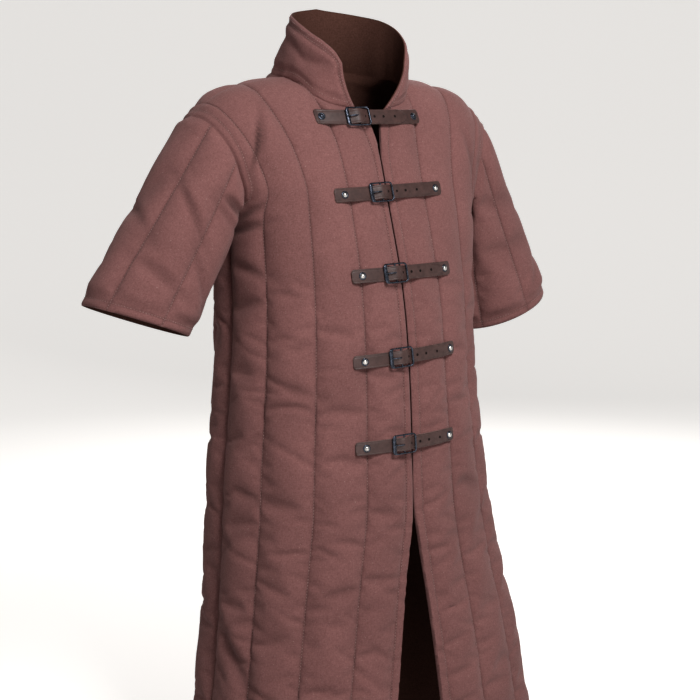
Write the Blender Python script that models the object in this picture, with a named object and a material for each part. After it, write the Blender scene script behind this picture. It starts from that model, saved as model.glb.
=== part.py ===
"""A quilted gambeson: a padded coat with half sleeves, a stand collar and five buckled straps.

It keeps the shape it has when worn, with nobody in it. Metres, +Z up. The front faces -Y and the
wearer's right is -X. The origin lies between the shoulders, at the height of the neck points.
"""

import math
from collections import namedtuple

import bmesh
import bpy
import numpy as np
from mathutils import Matrix
from mathutils.bvhtree import BVHTree

# ---------------------------------------------------------------- driving dimensions
COLLECTION = "Gambeson"
CUTTERS = "Gambeson cutters"
HEM_Z = -1.120
ARMPIT_Z = -0.195
SHOULDER_SEAM_Y = 0.020
SEAM_THICKNESS = 0.0028
PADDING = 0.0066
HEM_STITCH = 0.014
HEM_FILL = (0.25, 0.0)
TOP_FILL = (0.75, 0.0)
BAND_FILL = (0.25, 0.45)
CUFF_FILL = (0.0, 0.25)
SEAM_GAP = 0.0003
CHANNELS_PER_FRONT = 4
SKIRT_ROWS = 22
YOKE_ROWS = 12
NECK_RADIUS = 0.100
ARMHOLE_BOW = 0.008
ARMHOLE_RISE = 0.35
ARMHOLE_SQUEEZE = 3
SPACING_ROUNDS = 12
TURN_SAMPLES = 241
SHARP_ANGLE = 40
SLOPE_STEP = 0.004

# The torso's plain inner surface, level by level. Above the armpit the widths run on past the armholes.
Section = namedtuple("Section", "z right left front back front_square back_square")
SECTIONS = (
    Section(-1.120, 0.274, 0.337, 0.207, 0.180, 2.55, 2.10),
    Section(-1.050, 0.266, 0.325, 0.203, 0.176, 2.50, 2.10),
    Section(-0.900, 0.247, 0.294, 0.196, 0.168, 2.45, 2.10),
    Section(-0.750, 0.236, 0.252, 0.186, 0.162, 2.35, 2.10),
    Section(-0.600, 0.2275, 0.226, 0.180, 0.158, 2.25, 2.10),
    Section(-0.450, 0.214, 0.207, 0.171, 0.156, 2.20, 2.10),
    Section(-0.360, 0.210, 0.2115, 0.160, 0.157, 2.25, 2.15),
    Section(-0.270, 0.213, 0.216, 0.140, 0.157, 2.40, 2.30),
    Section(-0.195, 0.222, 0.224, 0.116, 0.155, 2.80, 2.60),
    Section(-0.170, 0.239, 0.239, 0.110, 0.154, 2.70, 2.50),
    Section(-0.145, 0.256, 0.256, 0.105, 0.152, 2.50, 2.40),
    Section(-0.110, 0.296, 0.296, 0.100, 0.150, 2.35, 2.25),
    Section(-0.050, 0.345, 0.345, 0.096, 0.148, 2.30, 2.20),
    Section(0.050, 0.380, 0.380, 0.094, 0.146, 2.30, 2.20),
)

# Half of the opening between the two front edges.
FrontGap = namedtuple("FrontGap", "z half")
FRONT_GAPS = (
    FrontGap(-1.120, 0.0600),
    FrontGap(-1.050, 0.0525),
    FrontGap(-0.957, 0.0415),
    FrontGap(-0.875, 0.0315),
    FrontGap(-0.800, 0.0215),
    FrontGap(-0.705, 0.0065),
    FrontGap(-0.660, 0.0002),
    FrontGap(-0.400, 0.0002),
    FrontGap(-0.120, 0.0002),
    FrontGap(-0.095, 0.0050),
    FrontGap(-0.072, 0.0105),
    FrontGap(-0.052, 0.0270),
)

# Where each stitch line of a half panel meets the top edge, from the centre to the armhole.
TopColumn = namedtuple("TopColumn", "column x")
FRONT_TOP = (
    TopColumn(0, 0.027),
    TopColumn(2, 0.041),
    TopColumn(4, 0.076),
    TopColumn(5, 0.088),
    TopColumn(6, 0.0965),
    TopColumn(7, 0.100),
    TopColumn(10, 0.180),
    TopColumn(14, 0.245),
    TopColumn(18, 0.268),
)
BACK_TOP = (
    TopColumn(0, 0.000),
    TopColumn(4, 0.090),
    TopColumn(5, 0.100),
    TopColumn(8, 0.180),
    TopColumn(12, 0.245),
    TopColumn(16, 0.268),
)
FRONT_STITCHES = (0, 2, 6, 10, 14, 18)
BACK_STITCHES = (0, 4, 8, 12, 16)
FRONT_NECK_COLUMN = 7
BACK_NECK_COLUMN = 5
EDGE_BAND_SHARE = 0.045

# Heights along the top edges: the two halves of the neckline, and the shoulder's ridge.
EdgeHeight = namedtuple("EdgeHeight", "x z")
NECK_FRONT = (
    EdgeHeight(0.027, -0.052),
    EdgeHeight(0.058, -0.046),
    EdgeHeight(0.076, -0.040),
    EdgeHeight(0.088, -0.030),
    EdgeHeight(0.0965, -0.0105),
    EdgeHeight(0.100, -0.004),
)
NECK_BACK = (
    EdgeHeight(0.000, 0.018),
    EdgeHeight(0.050, 0.014),
    EdgeHeight(0.090, 0.003),
    EdgeHeight(0.100, -0.004),
)
RIDGE = (
    EdgeHeight(0.100, -0.004),
    EdgeHeight(0.190, -0.018),
    EdgeHeight(0.240, -0.040),
    EdgeHeight(0.268, -0.062),
)
FRONT_RIDGE_LIFT = 0.034
BACK_RIDGE_LIFT = 0.127

# The collar's top edge: height by angle round the neck, counted from the centre front.
CollarTop = namedtuple("CollarTop", "angle z")
COLLAR_TOP = (
    CollarTop(42, 0.018),
    CollarTop(47, 0.031),
    CollarTop(60, 0.050),
    CollarTop(75, 0.064),
    CollarTop(90, 0.077),
    CollarTop(105, 0.087),
    CollarTop(135, 0.098),
    CollarTop(180, 0.108),
)
COLLAR_TOP_X = 0.006
COLLAR_TOP_Y = -0.004
COLLAR_TOP_RADIUS = 0.0895
COLLAR_FRONT_ANGLE = 42.0
COLLAR_DRAW = 1.8
COLLAR_ROWS = 5
COLLAR_PADDING = 0.0030
COLLAR_ROW_FILL = (0.0, 0.45, 1.0, 1.0, 0.6, 0.15)
COLLAR_EDGE_FILL = (0.15, 0.6)

# Each sleeve: where its cuff is centred, and how its opening leans.
Sleeve = namedtuple("Sleeve", "name side cuff_x cuff_y cuff_z lean cap")
SLEEVES = (
    Sleeve("sleeve_right", -1, 0.371, 0.018, -0.364, 24.5, -0.003),
    Sleeve("sleeve_left", 1, 0.343, 0.018, -0.393, 22.0, -0.005),
)
CUFF_RADIUS = 0.0825
CUFF_DEPTH_RADIUS = 0.0760
SLEEVE_RINGS = (0.0, 0.03, 0.095, 0.21, 0.35, 0.50, 0.66, 0.82, 0.955, 1.0)
SLEEVE_STITCHES = (2, 6, 10, 14, 18, 22)
SLEEVE_BELLY = 0.12
SLEEVE_CAP_REACH = 0.8
UNDERARM_EASE = 0.030
UNDERARM_ABOVE = 0.008
UNDERARM_START = 0.016
UNDERARM_CLEARANCE = 0.026

# Soft folds in the padding: where each lies, how far it reaches and how high it stands.
Fold = namedtuple("Fold", "panel column z reach_columns reach_z slant height")
FOLDS = (
    Fold("front_right", 11.0, -0.930, 3.0, 0.050, 0.020, 0.0045),
    Fold("front_right", 15.5, -0.850, 2.5, 0.045, -0.015, 0.0040),
    Fold("front_right", 15.0, -0.640, 2.5, 0.035, 0.012, 0.0035),
    Fold("front_right", 12.0, -0.470, 2.5, 0.030, -0.012, 0.0030),
    Fold("front_right", 16.0, -0.420, 2.0, 0.030, 0.010, 0.0035),
    Fold("front_right", 8.0, -0.760, 2.5, 0.040, 0.015, 0.0030),
    Fold("front_left", 12.0, -0.800, 3.0, 0.045, -0.018, 0.0045),
    Fold("front_left", 15.0, -0.640, 2.5, 0.035, 0.014, 0.0035),
    Fold("front_left", 9.0, -0.920, 2.5, 0.045, 0.016, 0.0035),
    Fold("front_left", 16.0, -0.440, 2.0, 0.030, -0.010, 0.0030),
    Fold("back", 3.0, -0.560, 2.5, 0.035, 0.014, 0.0035),
    Fold("back", 7.0, -0.880, 3.0, 0.045, -0.016, 0.0045),
    Fold("back", 13.0, -0.470, 3.0, 0.030, 0.012, 0.0030),
    Fold("back", 19.0, -0.510, 3.0, 0.032, -0.012, 0.0030),
    Fold("back", 24.5, -0.900, 3.0, 0.045, 0.018, 0.0045),
    Fold("back", 29.0, -0.620, 2.5, 0.035, -0.014, 0.0035),
)
# Every channel also swells and pinches a little down its length.
SWELL_HEIGHT = 0.0012
SwellWave = namedtuple("SwellWave", "pitch turn_by_channel share")
SWELL_WAVES = (SwellWave(0.115, 2.1, 0.7), SwellWave(0.310, 1.3, 0.5))

# The five closures, from the top: the strap's ends and the buckle's middle, across the front.
Closure = namedtuple("Closure", "z strap_end rivet_inset buckle tip tab_end rise")
CLOSURES = (
    Closure(-0.068, -0.107, 0.0120, -0.036, 0.056, 0.084, 0.00),
    Closure(-0.180, -0.102, 0.0165, -0.020, 0.078, 0.100, 0.03),
    Closure(-0.301, -0.091, 0.0160, -0.019, 0.074, 0.092, 0.02),
    Closure(-0.425, -0.098, 0.0165, -0.023, 0.080, 0.086, 0.05),
    Closure(-0.557, -0.101, 0.0160, -0.024, 0.066, 0.076, 0.03),
)
STRAP_WIDTH = 0.0205
STRAP_THICKNESS = 0.0020
TAB_THICKNESS = 0.0014
STRAP_LIFT = 0.0008
STRAP_TIP_LENGTH = 0.016
TIP_HALF_WIDTH = 0.0015
END_ROUNDING = 0.004
TAB_TURN_STEPS = 5
TAB_TURN_WIDTH = 0.72
BUCKLE_LENGTH = 0.038
BUCKLE_HEIGHT = 0.0285
BUCKLE_CORNER = 0.005
BUCKLE_CORNER_STEPS = 2
BUCKLE_WIRE = 0.0015
PRONG_WIRE = 0.0010
BAR_HEIGHT = TAB_THICKNESS + SEAM_GAP + BUCKLE_WIRE
TAB_CROWN = BAR_HEIGHT + BUCKLE_WIRE + SEAM_GAP + TAB_THICKNESS
STRAP_CROWN = TAB_CROWN + SEAM_GAP
STRAP_OVER_TAB = TAB_THICKNESS + SEAM_GAP
LEFT_BAR_HEIGHT = STRAP_THICKNESS + SEAM_GAP + BUCKLE_WIRE + 0.0005
RIGHT_BAR_HEIGHT = STRAP_OVER_TAB + STRAP_THICKNESS + SEAM_GAP + BUCKLE_WIRE + 0.0007
PRONG_REST = LEFT_BAR_HEIGHT + BUCKLE_WIRE + SEAM_GAP + PRONG_WIRE
PRONG_TOP = TAB_CROWN + STRAP_THICKNESS + 2 * SEAM_GAP + PRONG_WIRE
HALF_BUCKLE = BUCKLE_LENGTH / 2

# Routes across a closure: how far each point lies past one of the closure's places, and how high.
RoutePoint = namedtuple("RoutePoint", "past along height")
STRAP_ROUTE = (
    RoutePoint("strap_end", 0.0, 0.0),
    RoutePoint("strap_end", 0.0015, 0.0),
    RoutePoint("strap_end", END_ROUNDING, 0.0),
    RoutePoint("strap_end", 0.030, 0.0),
    RoutePoint("buckle", -HALF_BUCKLE - 0.004, 0.0),
    RoutePoint("buckle", -HALF_BUCKLE + 0.004, 0.0003),
    RoutePoint("buckle", -0.0055, STRAP_CROWN - 0.0012),
    RoutePoint("buckle", -0.0020, STRAP_CROWN),
    RoutePoint("buckle", 0.0030, STRAP_CROWN),
    RoutePoint("buckle", HALF_BUCKLE - 0.004, STRAP_OVER_TAB + 0.0003),
    RoutePoint("buckle", HALF_BUCKLE + 0.004, STRAP_OVER_TAB),
    RoutePoint("tip", -STRAP_TIP_LENGTH - 0.012, STRAP_OVER_TAB),
    RoutePoint("tip", -STRAP_TIP_LENGTH, STRAP_OVER_TAB),
    RoutePoint("tip", -0.009, STRAP_OVER_TAB),
    RoutePoint("tip", -0.003, STRAP_OVER_TAB),
    RoutePoint("tip", 0.0, STRAP_OVER_TAB),
)
TAB_ROUTE = (
    RoutePoint("tab_end", 0.0, 0.0),
    RoutePoint("tab_end", -0.0015, 0.0),
    RoutePoint("tab_end", -END_ROUNDING, 0.0),
    RoutePoint("tab_end", -0.030, 0.0),
    RoutePoint("buckle", 0.022, 0.0),
    RoutePoint("buckle", 0.010, 0.0),
)
TAB_RETURN = 0.0015
PRONG_ROUTE = (
    RoutePoint("buckle", -0.0040, PRONG_TOP),
    RoutePoint("buckle", -0.0085, PRONG_TOP - 0.0004),
    RoutePoint("buckle", -HALF_BUCKLE + 0.003, PRONG_REST + 0.0003),
    RoutePoint("buckle", -HALF_BUCKLE, PRONG_REST),
    RoutePoint("buckle", -HALF_BUCKLE - 0.0022, PRONG_REST),
)

RIVET_RADIUS = 0.0050
RIVET_HEIGHT = 0.0028
TAB_RIVET_INSET = 0.0115
RIVET_STEPS = 10
RivetPoint = namedtuple("RivetPoint", "radius height")
RIVET_PROFILE = (
    RivetPoint(0.0, 1.0),
    RivetPoint(0.55, 0.82),
    RivetPoint(0.9, 0.42),
    RivetPoint(1.0, 0.0),
    RivetPoint(0.0, 0.0),
)

# The linings: thin walls inside the back and the collar, on every few rows and columns of the back's.
LINING_THICKNESS = 0.0012
LINING_CLEARANCE = 0.0040
LINING_ROWS = (0, 4, 8, 12, 14, 16, 18, 20, 22, 25, 28, 31, 33, 34)
LINING_COLUMNS = (2, 4, 6, 8, 10, 11, 12, 13, 14, 15, 16, 17, 18, 19, 20, 21, 22, 24, 26, 28, 30)
# Beside a seam the wadding rises no faster than these shares of the distance to the next piece.
OPEN_SHARE = 0.80
HOLLOW_SHARE = 0.42
HOLLOW_FROM = 0.25
ROOM_REACH = 0.040
LEAST_WALL = 0.0012

Finish = namedtuple("Finish", "name colour roughness metallic")
CANVAS = Finish("quilted canvas", (0.235, 0.105, 0.095), 0.90, 0.0)
LINING = Finish("lining", (0.045, 0.025, 0.020), 0.85, 0.0)
LEATHER = Finish("leather", (0.095, 0.060, 0.052), 0.50, 0.0)
GUNMETAL = Finish("gunmetal", (0.080, 0.082, 0.088), 0.35, 0.9)
STEEL = Finish("steel", (0.450, 0.440, 0.430), 0.30, 1.0)


# ---------------------------------------------------------------- tables and curves
def between(table, key, value, at):
    """Read a table's column at any place: a smooth curve through its rows."""
    xs = np.array([getattr(row, key) for row in table])
    ys = np.array([getattr(row, value) for row in table])
    slopes = np.gradient(ys, xs)
    at = np.clip(np.asarray(at, float), xs[0], xs[-1])
    i = np.clip(np.searchsorted(xs, at, side="right") - 1, 0, len(xs) - 2)
    width = xs[i + 1] - xs[i]
    t = (at - xs[i]) / width
    start = (2 * t**3 - 3 * t**2 + 1) * ys[i] + (t**3 - 2 * t**2 + t) * width * slopes[i]
    end = (3 * t**2 - 2 * t**3) * ys[i + 1] + (t**3 - t**2) * width * slopes[i + 1]
    return start + end


def straight_between(table, key, value, at):
    """Read a table's column at any place, in straight lines between its rows."""
    return np.interp(at, [getattr(r, key) for r in table], [getattr(r, value) for r in table])


def unit(vectors):
    """The same directions, one metre long."""
    return vectors / np.linalg.norm(vectors, axis=-1, keepdims=True)


def ease(t):
    """A slow start and a slow end between 0 and 1."""
    return t * t * (3 - 2 * t)


# ---------------------------------------------------------------- the torso's form
def half_width(side, z):
    """The torso's half width on the wearer's right (-1) or left (+1)."""
    return between(SECTIONS, "z", "left" if side > 0 else "right", z)


def ridge_height(x, lift):
    """The top of the torso above x: the shoulder's slope, with a dome of this lift between the necks."""
    dome = lift * np.clip(1 - (x / NECK_RADIUS) ** 2, 0, None)
    return between(RIDGE, "x", "z", np.maximum(x, NECK_RADIUS)) + dome


def torso_y(side, facing, x, z):
    """Depth of the plain inner surface over (x, z), for the front (-1) or the back (+1)."""
    x = np.abs(x)
    depth = between(SECTIONS, "z", "back" if facing > 0 else "front", z)
    square = between(SECTIONS, "z", "back_square" if facing > 0 else "front_square", z)
    share = np.clip(x / half_width(side, z), 0, 1)
    y = facing * depth * (1 - share**square) ** (1 / square)
    lift = BACK_RIDGE_LIFT if facing > 0 else FRONT_RIDGE_LIFT
    top = ridge_height(x, lift)
    climb = np.clip((z - ARMPIT_Z) / (top - ARMPIT_Z), 0, 1)
    return SHOULDER_SEAM_Y + (y - SHOULDER_SEAM_Y) * np.sqrt(1 - climb**2)


def skirt_row(side, facing, z, first_x, shares):
    """One level row below the armpit, from first_x to the side seam, at shares of its length."""
    square = float(between(SECTIONS, "z", "back_square" if facing > 0 else "front_square", z))
    width = float(half_width(side, z))
    start = math.asin(min(1, (first_x / width) ** (square / 2)))
    turn = np.linspace(start, math.pi / 2, TURN_SAMPLES)
    x = width * np.sin(turn) ** (2 / square)
    y = torso_y(side, facing, x, np.full_like(x, z))
    y[-1] = 0
    run = np.concatenate([[0], np.cumsum(np.hypot(np.diff(x), np.diff(y)))])
    x_at = np.interp(shares * run[-1], run, x)
    y_at = np.interp(shares * run[-1], run, y)
    return np.stack([side * x_at, y_at, np.full_like(x_at, z)], axis=-1)


def front_gap(z):
    """Half of the opening between the fronts at this height."""
    return straight_between(FRONT_GAPS, "z", "half", z)


def run_lengths(x, y, z):
    """How far along a line each of its points lies, in metres."""
    steps = np.sqrt(np.diff(x) ** 2 + np.diff(y) ** 2 + np.diff(z) ** 2)
    return np.concatenate([[0], np.cumsum(steps)])


def panel_half(side, facing, shares, top_table, neck_table):
    """A half panel's inner points, rows from hem to top and columns from the centre outwards."""
    heights = np.concatenate(
        [[HEM_Z], np.linspace(HEM_Z + HEM_STITCH, ARMPIT_Z, SKIRT_ROWS)]
    )
    rows = []
    for z in heights:
        first_x = front_gap(z) if facing < 0 else 0.0
        rows.append(skirt_row(side, facing, z, first_x, shares))
    columns = np.arange(len(shares))
    armpit_x = np.abs(rows[-1][:, 0])
    top_x = straight_between(top_table, "column", "x", columns)
    top_z = np.where(
        top_x <= NECK_RADIUS,
        straight_between(neck_table, "x", "z", top_x),
        between(RIDGE, "x", "z", top_x),
    )
    outward = (top_x - top_x[0]) / (top_x[-1] - top_x[0])
    armpit_run = run_lengths(*rows[-1].T)[-1]
    top_run = run_lengths(top_x, torso_y(side, facing, top_x, top_z), top_z)
    for row in range(1, YOKE_ROWS + 1):
        w = row / YOKE_ROWS
        round_rise = ARMHOLE_RISE * w + (1 - ARMHOLE_RISE) * (1 - math.cos(math.pi * w)) / 2
        rise = (1 - outward) * w + outward * round_rise
        z = ARMPIT_Z + (top_z - ARMPIT_Z) * rise
        centre = front_gap(z[0]) if facing < 0 else 0.0
        spread = armpit_x + (top_x - armpit_x) * ease(w) - ARMHOLE_BOW * math.sin(math.pi * w) * outward
        spread += (centre - spread[0]) * np.clip(1 - columns / FRONT_NECK_COLUMN, 0, 1)
        x = spread
        for _ in range(SPACING_ROUNDS):
            run = run_lengths(x, torso_y(side, facing, x, z), z)
            kept = shares * armpit_run - (armpit_run - run[-1]) * shares**ARMHOLE_SQUEEZE
            target = kept + (top_run / top_run[-1] * run[-1] - kept) * ease(w)
            x = np.interp(target, run, x)
        x = x + (spread - x) * w
        if row == YOKE_ROWS:
            x = top_x
        y = torso_y(side, facing, x, z)
        rows.append(np.stack([side * x, y, z], axis=-1))
    return np.array(rows)


# ---------------------------------------------------------------- walls of cloth
def surface_normals(points, closed=False, inwards_of=None):
    """Unit normals of a grid of points, facing away from the point or line inwards_of."""
    count = points.shape[1]
    grid = np.concatenate([points, points[:, :1]], axis=1) if closed else points
    faces = np.cross(grid[1:, 1:] - grid[:-1, :-1], grid[:-1, 1:] - grid[1:, :-1])
    normals = np.zeros_like(grid)
    for rows in (slice(None, -1), slice(1, None)):
        for columns in (slice(None, -1), slice(1, None)):
            normals[rows, columns] += faces
    if closed:
        normals[:, 0] += normals[:, -1]
    normals = unit(normals[:, :count])
    facing = ((points - inwards_of) * normals).sum(axis=-1)
    return normals * (1 if np.median(facing) > 0 else -1)


def padding_profile(count, stitches):
    """How full the wadding is at each column: none on a stitch line, full between two."""
    fill = np.zeros(count)
    for start, end in zip(stitches, stitches[1:]):
        for column in range(start, end + 1):
            f = (column - start) / (end - start)
            fill[column] = math.sqrt(max(0, 1 - (2 * f - 1) ** 2))
    return fill


def channel_swell(columns, z, stitches):
    """The uneven swelling of each channel down its length."""
    channel = np.searchsorted(stitches, columns, side="right")
    swell = np.zeros(np.broadcast(channel, z).shape)
    for wave in SWELL_WAVES:
        swell += wave.share * np.sin(2 * math.pi * z / wave.pitch + wave.turn_by_channel * channel)
    return SWELL_HEIGHT * swell


def fold_height(panel, columns, z):
    """The height that the named panel's folds add to its outside."""
    height = np.zeros(np.broadcast(columns, z).shape)
    for fold in FOLDS:
        if fold.panel != panel:
            continue
        across = (columns - fold.column) / fold.reach_columns
        middle = fold.z + fold.slant * across
        along = (z - middle) / fold.reach_z
        height += fold.height * np.exp(-(across**2) - along**2)
    return height


def wall_thickness(panel, points, fill, stitches):
    """The padded wall's thickness over a body panel."""
    rows, count = points.shape[:2]
    columns = np.arange(count)[None, :]
    z = points[..., 2]
    row_fill = np.ones(rows)
    row_fill[:2] = HEM_FILL
    row_fill[-2:] = TOP_FILL
    soft = fill[None, :] * row_fill[:, None]
    swell = channel_swell(columns, z, stitches) + fold_height(panel, columns, z)
    return SEAM_THICKNESS + soft * (PADDING + swell)


Panel = namedtuple("Panel", "name inner normals thickness closed")


def drawn_in(grid, normals, closed):
    """How each edge point moves, half the seam gap in from every edge, square to the wall's normal."""
    shift = np.zeros_like(grid)
    edges = [(0, 1, 0), (-1, -2, 0)]
    if not closed:
        edges += [(0, 1, 1), (-1, -2, 1)]
    for edge, inside, axis in edges:
        line = np.take(grid, edge, axis=axis)
        normal = np.take(normals, edge, axis=axis)
        if axis == 0 and closed:
            run = np.roll(line, -1, axis=0) - np.roll(line, 1, axis=0)
        else:
            run = np.gradient(line, axis=0)
        side = unit(np.cross(run, normal))
        towards = np.take(grid, inside, axis=axis) - line
        side *= np.sign((side * towards).sum(axis=-1, keepdims=True))
        if axis == 0:
            shift[edge] += side * SEAM_GAP / 2
        else:
            shift[:, edge] += side * SEAM_GAP / 2
    return shift


def wall_object(panel, material):
    """A closed wall between a panel's plain inner points and its raised outer points."""
    shift = drawn_in(panel.inner, panel.normals, panel.closed)
    inner = panel.inner + shift
    outer = inner + panel.normals * panel.thickness[..., None]
    rows, columns = inner.shape[:2]
    mesh = bmesh.new()
    ins = [[mesh.verts.new(p) for p in row] for row in inner]
    outs = [[mesh.verts.new(p) for p in row] for row in outer]
    spans = columns if panel.closed else columns - 1
    for r in range(rows - 1):
        for c in range(spans):
            d = (c + 1) % columns
            mesh.faces.new((outs[r][c], outs[r][d], outs[r + 1][d], outs[r + 1][c]))
            mesh.faces.new((ins[r][c], ins[r + 1][c], ins[r + 1][d], ins[r][d]))
    for r in (0, rows - 1):
        for c in range(spans):
            d = (c + 1) % columns
            rim(mesh, (ins[r][c], outs[r][c]), (ins[r][d], outs[r][d]))
    if not panel.closed:
        for c in (0, columns - 1):
            for r in range(rows - 1):
                rim(mesh, (ins[r][c], outs[r][c]), (ins[r + 1][c], outs[r + 1][c]))
    return mesh_object(panel.name, mesh, material)


def rim(mesh, first, second):
    """Two triangles across an edge, always split from the lower inner point."""
    if tuple(round(v, 4) for v in first[0].co.zyx) > tuple(round(v, 4) for v in second[0].co.zyx):
        first, second = second, first
    mesh.faces.new((first[0], second[0], second[1]))
    mesh.faces.new((first[0], second[1], first[1]))


def mesh_object(name, mesh, material):
    """Turn a bmesh into a named object of the gambeson's collection, with its faces outwards."""
    bmesh.ops.recalc_face_normals(mesh, faces=mesh.faces)
    data = bpy.data.meshes.new(name)
    mesh.to_mesh(data)
    mesh.free()
    data.materials.append(material)
    data.shade_smooth()
    data.set_sharp_from_angle(angle=math.radians(SHARP_ANGLE))
    thing = bpy.data.objects.new(name, data)
    bpy.data.collections[COLLECTION].objects.link(thing)
    return thing


# ---------------------------------------------------------------- the cut pieces
def front_shares():
    """Where a front's columns lie along its width: the edge band, then equal channels."""
    band = np.array([0.0, EDGE_BAND_SHARE / 2])
    first = np.linspace(EDGE_BAND_SHARE, 1 / CHANNELS_PER_FRONT, 5)
    rest = np.linspace(1 / CHANNELS_PER_FRONT, 1, 4 * (CHANNELS_PER_FRONT - 1) + 1)
    return np.concatenate([band, first, rest[1:]])


def front_points(side):
    """A front's inner points."""
    return panel_half(side, -1, front_shares(), FRONT_TOP, NECK_FRONT)


def back_points():
    """The back's inner points, from the wearer's right side seam to the left one."""
    shares = np.linspace(0, 1, 4 * CHANNELS_PER_FRONT + 1)
    right = panel_half(-1, 1, shares, BACK_TOP, NECK_BACK)
    left = panel_half(1, 1, shares, BACK_TOP, NECK_BACK)
    return np.concatenate([right[:, ::-1], left[:, 1:]], axis=1)


def armhole_loop(front, back, side):
    """The armhole's points: from the armpit up the front edge, and down the back edge."""
    up = front[-YOKE_ROWS - 1 :, -1]
    edge = back[-YOKE_ROWS - 1 :, 0 if side < 0 else -1]
    return np.concatenate([up, edge[::-1][1:-1]])


def sleeve_points(sleeve, loop):
    """A sleeve's inner points: rings from the armhole to the cuff, columns round from the armpit."""
    centre = loop.mean(axis=0)
    cuff = np.array([sleeve.side * sleeve.cuff_x, sleeve.cuff_y, sleeve.cuff_z])
    lean = math.radians(sleeve.lean)
    up = np.array([sleeve.side * math.cos(lean), 0, math.sin(lean)])
    forward = np.array([0.0, -1.0, 0.0])
    turn = np.linspace(0, 2 * math.pi, len(loop), endpoint=False)[:, None]
    ring = -np.cos(turn) * up * CUFF_RADIUS + np.sin(turn) * forward * CUFF_DEPTH_RADIUS
    rings = []
    for t in SLEEVE_RINGS:
        blend = t + SLEEVE_BELLY * math.sin(math.pi * t)
        middle = centre + (cuff - centre) * t
        cap = sleeve.cap * math.sin(math.pi * min(1, t / SLEEVE_CAP_REACH)) * (1 - np.cos(turn)) / 2
        rings.append(middle + (1 - blend) * (loop - centre) + blend * ring + cap * up)
    return clear_of_torso(np.array(rings), sleeve.side)


def clear_of_torso(rings, side):
    """Move a sleeve's points outwards where the padded walls of sleeve and torso would touch."""
    x, y, z = np.moveaxis(rings, -1, 0)
    near = np.clip((ARMPIT_Z - z) / UNDERARM_ABOVE + 1, 0, 1)
    below = np.clip((ARMPIT_Z - z) / UNDERARM_EASE, 0, 1)
    behind = y > 0
    depth = np.where(behind, between(SECTIONS, "z", "back", z), between(SECTIONS, "z", "front", z))
    square = np.where(
        behind,
        between(SECTIONS, "z", "back_square", z),
        between(SECTIONS, "z", "front_square", z),
    )
    share = np.clip(np.abs(y) / depth, 0, 1)
    torso = half_width(side, np.minimum(z, ARMPIT_Z)) * (1 - share**square) ** (1 / square)
    least = torso + near * (UNDERARM_START + (UNDERARM_CLEARANCE - UNDERARM_START) * below)
    moved = np.where((near > 0) & (np.abs(x) < least), side * least, x)
    moved[0] = x[0]
    return np.stack([moved, y, z], axis=-1)


def collar_points(neckline):
    """The collar's inner points: rows from the neckline to the top, columns round the neck."""
    count = len(neckline)
    forward = SHOULDER_SEAM_Y - neckline[:, 1]
    around = np.degrees(np.arctan2(np.abs(neckline[:, 0]), forward))
    side = np.where(np.arange(count) < count // 2, -1.0, 1.0)
    spread = COLLAR_FRONT_ANGLE + (around - around[0]) * (180 - COLLAR_FRONT_ANGLE) / (180 - around[0])
    height = between(COLLAR_TOP, "angle", "z", spread)
    turn = np.radians(spread)
    top = np.stack(
        [
            COLLAR_TOP_X + side * COLLAR_TOP_RADIUS * np.sin(turn),
            COLLAR_TOP_Y - COLLAR_TOP_RADIUS * np.cos(turn),
            height,
        ],
        axis=-1,
    )
    rows = []
    for row in range(COLLAR_ROWS + 1):
        t = row / COLLAR_ROWS
        drawn = 1 - (1 - t) ** COLLAR_DRAW
        rows.append(neckline + (top - neckline) * (drawn, drawn, t))
    return np.array(rows)


def neckline_points(right, back, left):
    """The neckline from the right front edge, round the back of the neck, to the left front edge."""
    middle = back.shape[1] // 2
    nape = back[-1, middle - BACK_NECK_COLUMN : middle + BACK_NECK_COLUMN + 1]
    right_edge = right[-1, :FRONT_NECK_COLUMN]
    left_edge = left[-1, :FRONT_NECK_COLUMN][::-1]
    return np.concatenate([right_edge, nape, left_edge])


def share_directions(seams):
    """Give both sides of each seam one direction, midway between their own normals."""
    for first, first_at, second, second_at in seams:
        both = unit(first[first_at] + second[second_at])
        first[first_at] = both
        second[second_at] = both


def cloth_panels():
    """Every cut piece of the quilted shell, as grids of points, directions and thicknesses."""
    right, left, back = front_points(-1), front_points(1), back_points()
    loops = {-1: armhole_loop(right, back, -1), 1: armhole_loop(left, back, 1)}
    neckline = neckline_points(right, back, left)
    grids = {"front_right": right, "front_left": left, "back": back, "collar": collar_points(neckline)}
    for sleeve in SLEEVES:
        grids[sleeve.name] = sleeve_points(sleeve, loops[sleeve.side])
    normals = {}
    for name, grid in grids.items():
        closed = name.startswith("sleeve")
        if closed:
            core = grid.mean(axis=1, keepdims=True)
        else:
            core = np.array([0.0, SHOULDER_SEAM_Y, 0.0]) + grid * np.array([0.0, 0.0, 1.0])
        normals[name] = surface_normals(grid, closed, core)
    join_seams(normals, back.shape[1])
    return grids, normals


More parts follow.
